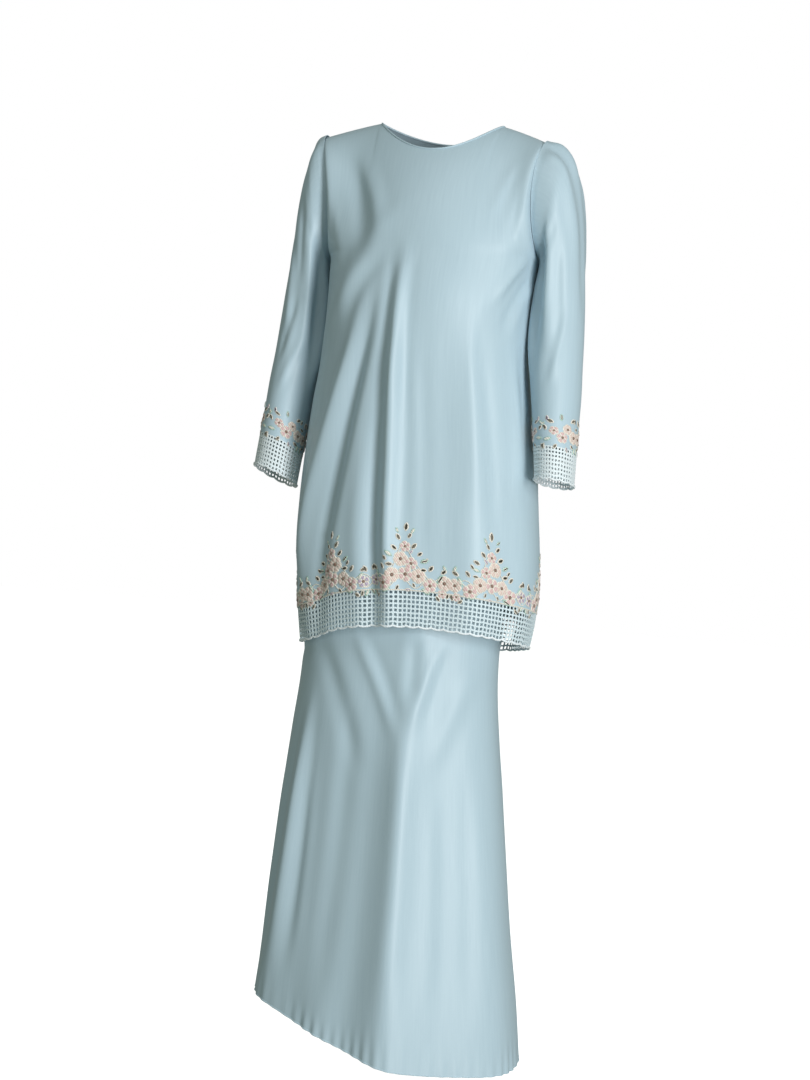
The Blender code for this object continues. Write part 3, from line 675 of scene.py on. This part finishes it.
def size_of(surface):
    """Width, length and area of a cut, measured along its surface on a fine net of points."""
    across, up = np.meshgrid(np.linspace(0, 1, 121), np.linspace(0, 1, 121))
    points = surface(across.ravel(), up.ravel()).reshape(121, 121, 3)
    run, rise = np.diff(points, axis=1), np.diff(points, axis=0)
    width = np.linalg.norm(run, axis=-1).sum(axis=1).max()
    length = np.linalg.norm(rise, axis=-1).sum(axis=0).max()
    area = np.linalg.norm(np.cross(run[:-1], rise[:, :-1]), axis=-1).sum()
    return width, length, area


def add_cloth(name, node, columns, rows, surface, closed=False):
    width, length, area = size_of(surface)
    piece = cut_grid(name, columns, rows, width, length)
    hang(piece, width, length, surface)
    if closed:
        close_seam(piece)
    if name.startswith("tunic"):
        ease_level(piece, UNDERARM_DROP, 0.025, 8)
    thicken(piece, CLOTH)
    finish_piece(piece, CREPE, node)
    return piece


def tunic_surface(half):
    def surface(across, up):
        t = panel_angle(half, across)
        lace_top = hem_drop(TUNIC_HEM, t) - HEM_LACE_HEIGHT - SEAM_GAP / 2
        share = np.clip(up / LOWER_SHARE, 0, 1)
        lower = ring_point(TUNIC_CLOTH, t, lace_top + (UNDERARM_DROP - lace_top) * share)
        upper = upper_point(half, t, np.clip((up - LOWER_SHARE) / (1 - LOWER_SHARE), 0, 1))
        points = np.where((up < LOWER_SHARE)[:, None], lower, upper)
        at_seam = (across < EDGE) | (across > 1 - EDGE)
        points[:, 1] += np.where(at_seam, half.side * SEAM_GAP / 2, 0)
        return points

    return surface


def skirt_surface(half, room):
    top = WAISTBAND_TOP_DROP + WAISTBAND_HEIGHT + SEAM_GAP

    def surface(across, up):
        t = panel_angle(half, across)
        hem = hem_drop(SKIRT_HEM, t)
        drop = hem + (top - hem) * up
        points = ring_point(SKIRT_CLOTH, t, drop)
        out = points * (1, 1, 0)
        out /= np.linalg.norm(out, axis=-1, keepdims=True)
        points = points + out * pucker(t, hem - drop)[:, None]
        points[:, 1] += np.where((across < EDGE) | (across > 1 - EDGE), half.side * SEAM_GAP / 2, 0)
        return inside_tunic(points, room)

    return surface


def sleeve_surface(arm):
    top = cuff_station(CUFF_LACE_HEIGHT + SEAM_GAP / 2)

    def surface(across, up):
        return sleeve_point(arm, -arm.side * math.pi * (2 * across - 1), top * (1 - up))

    return surface


def waistband_surface(across, up):
    """The elastic inside draws the band into small even gathers."""
    t = (2 * across - 1) * math.pi
    drop = WAISTBAND_TOP_DROP + WAISTBAND_HEIGHT * (1 - up)
    points = ring_point(Cloth(SKIRT, [], []), t, drop)
    gather = GATHER_HEIGHT * (np.sin(WAIST_GATHERS * t) + 0.4 * np.sin(2.3 * WAIST_GATHERS * t))
    return points * (1 + gather / BODY_RADIUS)[:, None] * (1, 1, 0) + points * (0, 0, 1)


# Lace: an even net of threads with a corded, scalloped edge


def add_net(name, node, columns, rows, thread_width, surface, material, closed=False):
    """A net modelled as by hand: a grid whose cells are inset by half a thread and then cut out."""
    width, length, area = size_of(surface)
    piece = cut_grid(name, columns, rows, width, length)
    bpy.ops.object.mode_set(mode="EDIT")
    bpy.ops.mesh.select_all(action="SELECT")
    bpy.ops.mesh.inset(use_individual=True, thickness=thread_width / 2)
    bpy.ops.mesh.delete(type="FACE")
    bpy.ops.object.mode_set(mode="OBJECT")
    hang(piece, width, length, surface)
    if closed:
        close_seam(piece)
    thicken(piece, LACE)
    finish_piece(piece, material, node)
    return piece


def hem_net_surface(half):
    def surface(across, up):
        t = panel_angle(half, across)
        drop = hem_drop(TUNIC_HEM, t) - (HEM_LACE_HEIGHT - SEAM_GAP / 2) * up
        points = ring_point(TUNIC_CLOTH, t, drop + scallop(t, HEM_SCALLOPS) * (1 - up) ** 2)
        points[:, 1] += np.where((across < EDGE) | (across > 1 - EDGE), half.side * SEAM_GAP / 2, 0)
        return points

    return surface


def cuff_net_surface(arm):
    def surface(across, up):
        angle = -arm.side * math.pi * (2 * across - 1)
        above = CUFF_LACE_HEIGHT * up - scallop(angle, CUFF_SCALLOPS) * (1 - up) ** 2
        edge, higher = sleeve_point(arm, angle, cuff_station(0)), sleeve_point(arm, angle, cuff_station(above))
        past = np.clip(-above, 0, None)[:, None]
        inner = sleeve_point(arm, angle, cuff_station(0.004))
        return higher + (edge - inner) / 0.004 * past

    return surface


def add_cord(name, path, outward, radius, segments, material, sides=8, closed=True):
    """A round cord along a path, sewn to the cloth whose outward side is given."""
    share = np.linspace(0, 1, segments + 1)
    line, normal = path(share), outward(share)
    tangent = np.gradient(line, axis=0)
    if closed:
        tangent[0] = tangent[-1] = line[1] - line[-2]
    tangent /= np.linalg.norm(tangent, axis=-1, keepdims=True)
    normal -= tangent * np.sum(normal * tangent, axis=-1, keepdims=True)
    normal /= np.linalg.norm(normal, axis=-1, keepdims=True)
    beside = np.cross(tangent, normal)

    def surface(across, up):
        i = np.rint(up * segments).astype(int)
        turn = (2 * math.pi * across)[:, None]
        return line[i] + radius * (np.cos(turn) * normal[i] + np.sin(turn) * beside[i])

    piece = cut_grid(name, sides, segments, 2 * math.pi * radius, 1)
    hang(piece, 2 * math.pi * radius, 1, surface)
    close_seam(piece)
    bpy.ops.object.shade_smooth()
    return finish_piece(piece, material)


# Embroidery lies on the cloth. A place on it is told by the way along the edge and the height above the edge.


def make_bed(surface_at, around):
    """How motifs lie on a border: surface_at takes an angle and a height above the edge."""
    angles = np.linspace(-math.pi, math.pi, BED_STEPS + 1)
    line = surface_at(angles, np.full(angles.shape, BED_HEIGHT))
    way = np.concatenate([[0], np.cumsum(np.linalg.norm(np.diff(line, axis=0), axis=-1))])
    middle = np.interp(0, angles, way)

    def lay(along_edge, up, lift):
        turn = np.interp((along_edge * around + middle) % way[-1], way, angles)
        here = surface_at(turn, up)
        run = surface_at(turn + BED_REACH, up) - surface_at(turn - BED_REACH, up)
        rise = surface_at(turn, up + BED_REACH * BODY_RADIUS) - surface_at(turn, up - BED_REACH * BODY_RADIUS)
        normal = np.cross(run * around, rise)
        return here + normal / np.linalg.norm(normal, axis=-1, keepdims=True) * lift[:, None]

    return lay, way[-1]


def patch(name, outline, rim, height, threads):
    """A stitched patch: a cream or mint outline round a raised fill, modelled once and copied afterwards."""
    bpy.ops.object.select_all(action="DESELECT")
    bpy.ops.mesh.primitive_circle_add(vertices=len(outline), radius=1, fill_type="NGON")
    shape = bpy.context.object
    shape.name = shape.data.name = name
    set_points(shape, [(x, y, 0) for x, y in outline])
    for thread in threads:
        shape.data.materials.append(thread)
    bpy.ops.object.mode_set(mode="EDIT")
    bpy.ops.mesh.select_all(action="SELECT")
    bpy.ops.mesh.normals_make_consistent(inside=False)
    bpy.ops.mesh.inset(thickness=rim, depth=height)
    bpy.context.object.active_material_index = 1
    bpy.ops.object.material_slot_assign()
    bpy.ops.mesh.inset(thickness=rim, depth=height * 0.4)
    bpy.ops.object.mode_set(mode="OBJECT")
    flip = shape.data.polygons[0].normal.z < 0
    if flip:
        shape.data.flip_normals()
    return shape


def leaf_outline(length, width, points=12, sharpness=1.4):
    turn = np.arange(points) / points * 2 * math.pi
    side = np.sign(np.sin(turn)) * np.abs(np.sin(turn)) ** sharpness
    return np.stack([width / 2 * side, length / 2 * (1 - np.cos(turn))], axis=-1)


def petal_outline(length, width, points=10):
    turn = np.arange(points) / points * 2 * math.pi
    share = (1 - np.cos(turn)) / 2
    return np.stack([width / 2 * np.sin(turn) * (0.5 + 0.6 * share), length * (0.12 + 0.88 * share)], axis=-1)


def make_rosette(name, petals, threads):
    """A flower of petals round a small raised eye."""
    shape = patch(name, petal_outline(1.0, PETAL_WIDTH), 0.14, 0.075, threads)
    bpy.ops.object.mode_set(mode="EDIT")
    bpy.ops.mesh.select_all(action="SELECT")
    for _ in range(petals - 1):
        bpy.ops.mesh.duplicate()
        bpy.ops.transform.rotate(value=2 * math.pi / petals, orient_axis="Z", center_override=(0, 0, 0))
    bpy.ops.mesh.select_all(action="DESELECT")
    bpy.ops.mesh.primitive_circle_add(vertices=8, radius=0.24, fill_type="NGON", location=(0, 0, 0.08))
    bpy.ops.mesh.inset(thickness=0.1, depth=0.08)
    bpy.context.object.active_material_index = 2
    bpy.ops.mesh.select_more()
    bpy.ops.object.material_slot_assign()
    bpy.ops.object.mode_set(mode="OBJECT")
    return shape


def copy_motif(shape, lay, place, up, turn, size, lift=0.0002):
    """A copy of a motif with its own mesh, set on the cloth."""
    motif = shape.copy()
    motif.data = shape.data.copy()
    bpy.context.collection.objects.link(motif)
    points = read_points(motif) * size
    c, s = math.cos(turn), math.sin(turn)
    x, y = points[:, 0] * c - points[:, 1] * s, points[:, 0] * s + points[:, 1] * c
    set_points(motif, lay(place + x, up + y, points[:, 2] + lift))
    return motif


def join_motifs(motifs, name):
    bpy.ops.object.select_all(action="DESELECT")
    for motif in motifs:
        motif.select_set(True)
    bpy.context.view_layer.objects.active = motifs[0]
    bpy.ops.object.join()
    piece = bpy.context.object
    piece.name = piece.data.name = name
    bpy.ops.object.shade_smooth_by_angle(angle=SMOOTH_ANGLE)
    return finish_piece(piece, None)


# Materials


def hex_colour(code):
    """A linear colour from an sRGB hex value."""
    channels = [int(code[i : i + 2], 16) / 255 for i in (1, 3, 5)]
    return (*[c / 12.92 if c <= 0.04045 else ((c + 0.055) / 1.055) ** 2.4 for c in channels], 1)


def new_material(name):
    material = bpy.data.materials.new(name)
    material.use_nodes = True
    return material, material.node_tree.nodes["Principled BSDF"]


def add_node(material, kind, links=(), **settings):
    """Adds a node, sets its properties or sockets, and links (output socket, input name) pairs into it."""
    node = material.node_tree.nodes.new(kind)
    for key, value in settings.items():
        if hasattr(node, key):
            setattr(node, key, value)
        else:
            node.inputs[key.replace("_", " ")].default_value = value
    for output, name in links:
        material.node_tree.links.new(output, node.inputs[name])
    return node


def satin_crepe(name, colour, deep, light):
    """Satin-faced crepe: smooth floats give a soft broad shine, a fine grain of warp threads shows close up."""
    material, shader = new_material(name)
    links = material.node_tree.links
    shader.inputs["Roughness"].default_value = 0.46
    shader.inputs["Specular IOR Level"].default_value = 0.42
    shader.inputs["Sheen Weight"].default_value = 0.12
    shader.inputs["Sheen Roughness"].default_value = 0.35
    where = add_node(material, "ShaderNodeTexCoord")
    warp = add_node(material, "ShaderNodeMapping", [(where.outputs["UV"], "Vector")], Scale=WARP_SCALE)
    streaks = add_node(material, "ShaderNodeTexNoise", [(warp.outputs["Vector"], "Vector")], Scale=1.0, Detail=3.0)
    tone = add_node(material, "ShaderNodeValToRGB", [(streaks.outputs["Fac"], "Fac")])
    tone.color_ramp.elements[0].position, tone.color_ramp.elements[1].position = 0.30, 0.70
    tone.color_ramp.elements[0].color, tone.color_ramp.elements[1].color = hex_colour(deep), hex_colour(light)
    cloud = add_node(material, "ShaderNodeTexNoise", [(where.outputs["UV"], "Vector")], Scale=9.0, Detail=2.0)
    mix = add_node(
        material,
        "ShaderNodeMix",
        [(cloud.outputs["Fac"], "Factor")],
        data_type="RGBA",
    )
    mix.inputs[6].default_value = hex_colour(colour)
    links.new(tone.outputs["Color"], mix.inputs[7])
    links.new(mix.outputs[2], shader.inputs["Base Color"])
    weave = add_node(
        material, "ShaderNodeTexWave", [(where.outputs["UV"], "Vector")], Scale=WEAVE_SCALE, Distortion=1.5
    )
    weft = add_node(
        material,
        "ShaderNodeTexWave",
        [(where.outputs["UV"], "Vector")],
        bands_direction="Y",
        Scale=WEAVE_SCALE,
        Distortion=1.5,
    )
    grain = add_node(
        material, "ShaderNodeMath", [(weave.outputs["Fac"], 0), (weft.outputs["Fac"], 1)], operation="MULTIPLY"
    )
    bumped = add_node(material, "ShaderNodeBump", [(grain.outputs[0], "Height")], Strength=0.10, Distance=0.0003)
    links.new(bumped.outputs["Normal"], shader.inputs["Normal"])
    return material


def thread(name, colour, painted_shade, roughness=0.6, sheen=0.15):
    """Embroidery thread laid side by side: a soft shine across the stitches and fine ribs along them, with painted
    shade in the grooves between the ribs.
    """
    material, shader = new_material(name)
    links = material.node_tree.links
    shader.inputs["Roughness"].default_value = roughness
    shader.inputs["Sheen Weight"].default_value = sheen
    where = add_node(material, "ShaderNodeTexCoord")
    ribs = add_node(
        material,
        "ShaderNodeTexWave",
        [(where.outputs["Object"], "Vector")],
        bands_direction="DIAGONAL",
        Scale=STITCH_SCALE,
        Distortion=3.0,
    )
    # Painted shade: the ramp gives the thread its darker second colour where the ribs sink, in the grooves between
    # stitches.
    tone = add_node(material, "ShaderNodeValToRGB", [(ribs.outputs["Fac"], "Fac")])
    tone.color_ramp.elements[0].color, tone.color_ramp.elements[1].color = hex_colour(painted_shade), hex_colour(colour)
    links.new(tone.outputs["Color"], shader.inputs["Base Color"])
    bumped = add_node(material, "ShaderNodeBump", [(ribs.outputs["Fac"], "Height")], Strength=0.35, Distance=0.0004)
    links.new(bumped.outputs["Normal"], shader.inputs["Normal"])
    return material


WARP_SCALE = (260.0, 14.0, 1.0)
WEAVE_SCALE = 1 / 0.0011 / 20 * 3.2
STITCH_SCALE = 1 / 0.0012 / 20 * 3.2

CREPE = satin_crepe("satin_faced_crepe", "#b2c7d1", "#aec3ce", "#b7cbd5")
# Each thread's second colour is painted shade, laid into the grooves between its stitches.
HEM_COTTON = thread("hem_net_thread", "#dde9ed", "#c6d7dd")
CUFF_COTTON = thread("cuff_net_thread", "#eaf0f2", "#d3dfe3")
EDGE_CORD = thread("edge_cord_thread", "#f6f9fa", "#dae4e9")
CREAM = thread("cream_thread", "#efe9de", "#cfc8bb")
PINK = thread("rose_pink_thread", "#dfc2c0", "#c7a3a0")
PEACH = thread("peach_thread", "#e5d3ca", "#ccb0a4")
EYE = thread("brown_thread", "#96796a", "#765c4f")
OLIVE = thread("olive_brown_thread", "#776f60", "#585145")
MINT = thread("mint_thread", "#b3d0c4", "#93b7a8")
MAUVE = thread("mauve_thread", "#bfb2c2", "#9f90a4")

# Cloth pieces
ROOM = room_in_tunic()
add_cord_paths = None


def neck_line(share):
    """The neckline all the way round: the front from right to left, then the back."""
    t = np.linspace(-math.pi / 2, math.pi / 2, 2001)
    ahead = np.clip(share * 2, 0, 1)
    behind = np.clip(share * 2 - 1, 0, 1)
    front_x = -np.cos(ahead * math.pi) * NECK_SHARE
    back_x = np.cos(behind * math.pi) * NECK_SHARE
    front_t = np.interp(front_x, np.sin(turned(t)), t)
    back_t = math.pi - np.interp(back_x, np.sin(turned(t)), t)
    one = np.ones(share.shape)
    front, back = upper_point(FRONT, front_t, one), upper_point(BACK, back_t, one)
    return np.where((share <= 0.5)[:, None], front, back)


add_cord(
    "neck_binding",
    neck_line,
    lambda share: neck_line(share) - np.array([0, 0.01, -0.20]),
    NECK_BINDING_RADIUS,
    160,
    CREPE,
)
add_cloth("tunic_front_cloth", "tunic_front", 160, 170, tunic_surface(FRONT))
add_cloth("tunic_back_cloth", "tunic_back", 120, 150, tunic_surface(BACK))
add_cloth("skirt_front_cloth", "skirt_front", 160, 150, skirt_surface(FRONT, ROOM))
add_cloth("skirt_back_cloth", "skirt_back", 120, 120, skirt_surface(BACK, ROOM))
for arm in (LEFT_ARM, RIGHT_ARM):
    name, armhole = f"sleeve_{arm.word}", ["tunic_front_cloth", "tunic_back_cloth"]
    add_cloth(f"{name}_cloth", name, 96, 130, sleeve_surface(arm), closed=True)
add_cloth("waistband_cloth", "skirt_waistband", 240, 8, waistband_surface, closed=True)

for half, word in ((FRONT, "front"), (BACK, "back")):
    add_net(
        f"hem_net_{word}",
        f"hem_lace_{word}",
        HEM_NET_COLUMNS,
        HEM_NET_ROWS,
        HEM_THREAD,
        hem_net_surface(half),
        HEM_COTTON,
    )
for arm in (LEFT_ARM, RIGHT_ARM):
    add_net(
        f"cuff_net_{arm.word}",
        f"cuff_lace_{arm.word}",
        CUFF_NET_COLUMNS,
        CUFF_NET_ROWS,
        CUFF_THREAD,
        cuff_net_surface(arm),
        CUFF_COTTON,
        closed=True,
    )


def hem_point(t, up):
    return ring_point(TUNIC_CLOTH, t, hem_drop(TUNIC_HEM, t) - up)


def hem_edge(share):
    t = (2 * share - 1) * math.pi
    return hem_point(t, -scallop(t, HEM_SCALLOPS))


def from_middle(line, x=0.0):
    return lambda share: (line(share) - (x, 0, 0)) * (1, 1, 0)


add_cord("hem_scalloped_cord", hem_edge, from_middle(hem_edge), CORD_RADIUS, HEM_SCALLOPS * 8, EDGE_CORD)


def skirt_edge(share):
    t = (2 * share - 1) * math.pi
    drop = hem_drop(SKIRT_HEM, t)
    points = ring_point(SKIRT_CLOTH, t, drop)
    out = points * (1, 1, 0)
    out /= np.linalg.norm(out, axis=-1, keepdims=True)
    return points + out * (pucker(t, 0 * t) - CLOTH / 2)[:, None]


add_cord("skirt_rolled_hem", skirt_edge, from_middle(skirt_edge), HEM_ROLL / 2, 400, CREPE)

for arm in (LEFT_ARM, RIGHT_ARM):
    net = cuff_net_surface(arm)

    def cuff_edge(share, net=net):
        return net(share, 0 * share)

    middle = cuff_edge(np.linspace(0, 1, 60)).mean(axis=0)
    add_cord(
        f"cuff_scalloped_cord_{arm.word}",
        cuff_edge,
        lambda share, middle=middle, cuff_edge=cuff_edge: (cuff_edge(share) - middle) * (1, 1, 0),
        CORD_RADIUS,
        CUFF_SCALLOPS * 8,
        EDGE_CORD,
    )

# Embroidery: shapes modelled once
ROSETTES = [
    make_rosette("pink_rosette", 5, (CREAM, PINK, EYE)),
    make_rosette("peach_rosette", 6, (CREAM, PEACH, EYE)),
    make_rosette("mauve_rosette", 5, (CREAM, MAUVE, EYE)),
]
LEAVES = [
    patch("olive_leaf", leaf_outline(1.0, 0.60), 0.12, 0.06, (CREAM, OLIVE)),
    patch("mint_leaf", leaf_outline(1.0, 0.50), 0.10, 0.06, (MINT, CREAM)),
    patch("mauve_leaf", leaf_outline(1.0, 0.50), 0.10, 0.06, (CREAM, MAUVE)),
]

# One repeat of the hem border, in millimetres from the spray's middle and above the net
Motif = namedtuple("Motif", "shape x up turn size")
SPRAY = [
    Motif("olive", 0, 92, 0, 14),
    Motif("olive", -5, 80, 38, 11),
    Motif("olive", 5, 78, -42, 11),
    Motif("mint", 8, 89, -34, 10),
    Motif("mint", -8, 88, 36, 10),
    Motif("pink", 0, 69, 0, 9),
    Motif("olive", -10, 66, 50, 11),
    Motif("olive", 10, 63, -55, 12),
    Motif("mauve_leaf", -6, 57, 40, 9),
    Motif("peach", 5, 51, 20, 12),
    Motif("pink", -9, 45, 0, 10),
    Motif("olive", -18, 56, 60, 11),
    Motif("mint", 18, 54, -58, 13),
    Motif("mint", -20, 46, 70, 13),
    Motif("olive", 18, 41, -80, 12),
    Motif("olive", -21, 36, 84, 10),
    Motif("peach", -19, 25, 0, 12),
    Motif("pink", 0, 28, 30, 12),
    Motif("peach", 18, 26, 50, 11),
    Motif("mint", -8, 37, 30, 10),
    Motif("olive", -33, 35, 40, 12),
    Motif("olive", 30, 36, -40, 12),
    Motif("olive", -10, 15, 160, 9),
    Motif("olive", 10, 13, 200, 9),
    Motif("pink", 31, 15, 10, 13),
    Motif("pink", -34, 13, 0, 11),
    Motif("mint", 21, 9, -120, 14),
    Motif("mint", -22, 8, 120, 14),
    Motif("mauve_leaf", 2, 5, 90, 10),
    Motif("olive", 40, 0, -130, 10),
    Motif("olive", -42, 0, 130, 10),
    Motif("mint", -45, 18, 30, 16),
    Motif("mint", 44, 20, -24, 15),
    Motif("olive", -48, 33, 56, 12),
    Motif("olive", 46, 35, -62, 11),
    Motif("mauve", 52, 19, 12, 9),
    Motif("peach", -54, 19, 0, 11),
    Motif("mint", -55, 37, -20, 11),
    Motif("olive", 57, 34, 16, 11),
    Motif("olive", -60, 6, -160, 10),
    Motif("mint", 59, 7, 150, 12),
    Motif("olive", 50, 5, 170, 9),
    Motif("pink", -50, 3, 20, 7),
    Motif("olive", 26, 47, -30, 9),
    Motif("olive", -27, 46, 30, 9),
]
SHAPES = dict(zip(("pink", "peach", "mauve"), ROSETTES)) | dict(zip(("olive", "mint", "mauve_leaf"), LEAVES))
chance = random.Random(7)
lay_hem, hem_way = make_bed(hem_point, 1)
motifs = []
for k in range(SPRAYS):
    middle = (k - SPRAYS / 2) * hem_way / SPRAYS + SPRAY_SHIFT
    mirror = 1 if k % 2 else -1
    tall = chance.uniform(0.88, 1.0) if k != SPRAYS // 2 else 1.0
    for m in SPRAY:
        size = m.size * chance.uniform(0.92, 1.1) / 1000
        turn = math.radians(m.turn + chance.uniform(-9, 9))
        x = (m.x + chance.uniform(-1.2, 1.2)) / 1000 * hem_way / SPRAYS / SPRAY_WIDTH
        up = HEM_LACE_HEIGHT + (m.up * tall + chance.uniform(-1, 1)) / 1000 + SPRAY_LIFT
        lift = 0.0002 + 0.0001 * (SPRAY.index(m) % 3)
        motifs.append(copy_motif(SHAPES[m.shape], lay_hem, middle + mirror * x, up, mirror * turn, size, lift))
join_motifs(motifs, "hem_embroidery")



def add_vine(name, lay, way, up, radius, segments):
    """A thin stitched stem all the way round a border. up gives its height at each place along the edge."""

    def line(share):
        return lay(share * way, up(share), np.full(share.shape, 0.0003))

    def away(share):
        return lay(share * way, up(share), np.full(share.shape, 1.0)) - line(share)

    return add_cord(name, line, away, radius, segments, CREAM, sides=5)


def high_stem(share):
    x = ((share - SPRAY_SHIFT / hem_way) * SPRAYS + 0.5) % 1 - 0.5
    return HEM_LACE_HEIGHT + 0.020 + 0.046 * np.exp(-((x / 0.13) ** 2)) + 0.004 * np.sin(share * SPRAYS * 8 * math.pi)


def low_stem(share):
    return HEM_LACE_HEIGHT + 0.012 + 0.008 * np.sin(share * SPRAYS * 6 * math.pi)


def seam_stem(share):
    return HEM_LACE_HEIGHT + 0.0005 + 0 * share


add_vine("hem_high_stem", lay_hem, hem_way, high_stem, 0.0008, 1200)
add_vine("hem_low_stem", lay_hem, hem_way, low_stem, 0.0008, 1000)
add_vine("hem_net_heading", lay_hem, hem_way, seam_stem, 0.0011, 700)

CUFF_SPRAY = [
    Motif("pink", 0, 17, 0, 11),
    Motif("peach", 8, 33, 20, 9),
    Motif("olive", -12, 40, 60, 12),
    Motif("olive", 13, 45, -50, 12),
    Motif("mint", -2, 44, 5, 12),
    Motif("mint", -15, 13, 100, 14),
    Motif("olive", 14, 7, -110, 11),
    Motif("peach", 21, 21, 20, 11),
    Motif("olive", -22, 26, 30, 11),
    Motif("pink", -12, 27, 40, 8),
    Motif("mauve_leaf", -20, 42, 10, 11),
    Motif("olive", 22, 44, -10, 11),
    Motif("mint", 26, 6, 160, 12),
    Motif("olive", -25, 3, 140, 10),
    Motif("mauve_leaf", 6, 3, 200, 9),
    Motif("olive", 26, 34, -60, 9),
    Motif("olive", -8, 4, 150, 9),
    Motif("mint", -26, 36, 40, 10),
]
for arm in (LEFT_ARM, RIGHT_ARM):

    def cuff_point(angle, up, arm=arm):
        return sleeve_point(arm, angle, cuff_station(up))

    lay_cuff, cuff_way = make_bed(cuff_point, -arm.side)
    motifs = []
    for k in range(CUFF_SPRAYS):
        middle = (k + 0.3) * cuff_way / CUFF_SPRAYS
        mirror = 1 if k % 2 else -1
        for m in CUFF_SPRAY:
            size = m.size * chance.uniform(0.92, 1.1) / 1000
            turn = math.radians(m.turn + chance.uniform(-9, 9))
            x = m.x / 1000 * cuff_way / CUFF_SPRAYS / CUFF_SPRAY_WIDTH
            up = CUFF_LACE_HEIGHT + (m.up + chance.uniform(-1, 1)) / 1000
            lift = 0.0002 + 0.0001 * (CUFF_SPRAY.index(m) % 3)
            shape = SHAPES[m.shape]
            motifs.append(copy_motif(shape, lay_cuff, middle + mirror * x, up, mirror * turn, size, lift))
    join_motifs(motifs, f"cuff_embroidery_{arm.word}")

for shape in SHAPES.values():
    bpy.data.objects.remove(shape)

# Floor, light and camera
scene = bpy.context.scene
bpy.ops.object.select_all(action="DESELECT")
bpy.ops.mesh.primitive_plane_add(size=FLOOR_SIZE, location=(0, 0, FLOOR_Z))
floor = bpy.context.object
floor.name = "floor"
floor_paper, floor_shader = new_material("white_paper_floor")
floor_shader.inputs["Base Color"].default_value = hex_colour("#f6f6f6")
floor_shader.inputs["Roughness"].default_value = 0.9
floor_shader.inputs["Specular IOR Level"].default_value = 0.1
floor_shader.inputs["Emission Color"].default_value = (1, 1, 1, 1)
floor_shader.inputs["Emission Strength"].default_value = FLOOR_GLOW
floor.data.materials.append(floor_paper)
floor.visible_diffuse = floor.visible_glossy = False

world = bpy.data.worlds.new("studio")
scene.world = world
world.use_nodes = True
nodes, links = world.node_tree.nodes, world.node_tree.links
soft = nodes["Background"]
soft.inputs["Color"].default_value = hex_colour("#e2efe2")
soft.inputs["Strength"].default_value = FILL
white = nodes.new("ShaderNodeBackground")
white.inputs["Color"].default_value = (1, 1, 1, 1)
seen = nodes.new("ShaderNodeLightPath")
choose = nodes.new("ShaderNodeMixShader")
links.new(seen.outputs["Is Camera Ray"], choose.inputs[0])
links.new(soft.outputs[0], choose.inputs[1])
links.new(white.outputs[0], choose.inputs[2])
links.new(choose.outputs[0], nodes["World Output"].inputs["Surface"])


def add_lamp(name, azimuth, elevation, distance, size, watts, colour):
    """A soft box that looks at the garment's middle. Azimuth 0 is in front of the wearer, 90 at the left."""
    a, e = math.radians(azimuth), math.radians(elevation)
    away = Vector((math.sin(a) * math.cos(e), -math.cos(a) * math.cos(e), math.sin(e)))
    light = bpy.data.lights.new(name, "AREA")
    light.shape = "RECTANGLE"
    light.size, light.size_y = size
    light.energy = watts
    light.color = hex_colour(colour)[:3]
    lamp = bpy.data.objects.new(name, light)
    lamp.location = MIDDLE + away * distance
    lamp.rotation_euler = away.to_track_quat("Z", "Y").to_euler()
    scene.collection.objects.link(lamp)


add_lamp("key_softbox", 46, 3, 3.2, (0.9, 2.0), 90, "#fbfdff")
add_lamp("top_softbox", 10, 62, 3.0, (1.6, 1.6), 12, "#fbfdff")
add_lamp("fill_softbox", -35, 10, 3.6, (1.6, 2.4), 8, "#eef6ee")

camera = bpy.data.objects.new("camera", bpy.data.cameras.new("camera"))
scene.collection.objects.link(camera)
turn = math.radians(CAMERA_AZIMUTH)
right = Vector((math.cos(turn), math.sin(turn), 0))
back = Vector((math.sin(turn), -math.cos(turn), 0))
camera.location = MIDDLE + back * CAMERA_DISTANCE - right * CAMERA_LEFT
facing = Matrix.Rotation(turn, 3, "Z") @ Matrix.Rotation(math.pi / 2, 3, "X")
camera.rotation_euler = (facing @ Matrix.Rotation(math.radians(CAMERA_ROLL), 3, "Z")).to_euler()
camera.data.sensor_fit = "VERTICAL"
camera.data.sensor_height = 36
camera.data.lens = 36 * CAMERA_DISTANCE / (1080 * METRES_PER_PIXEL)
scene.camera = camera
scene.view_settings.view_transform = "Standard"
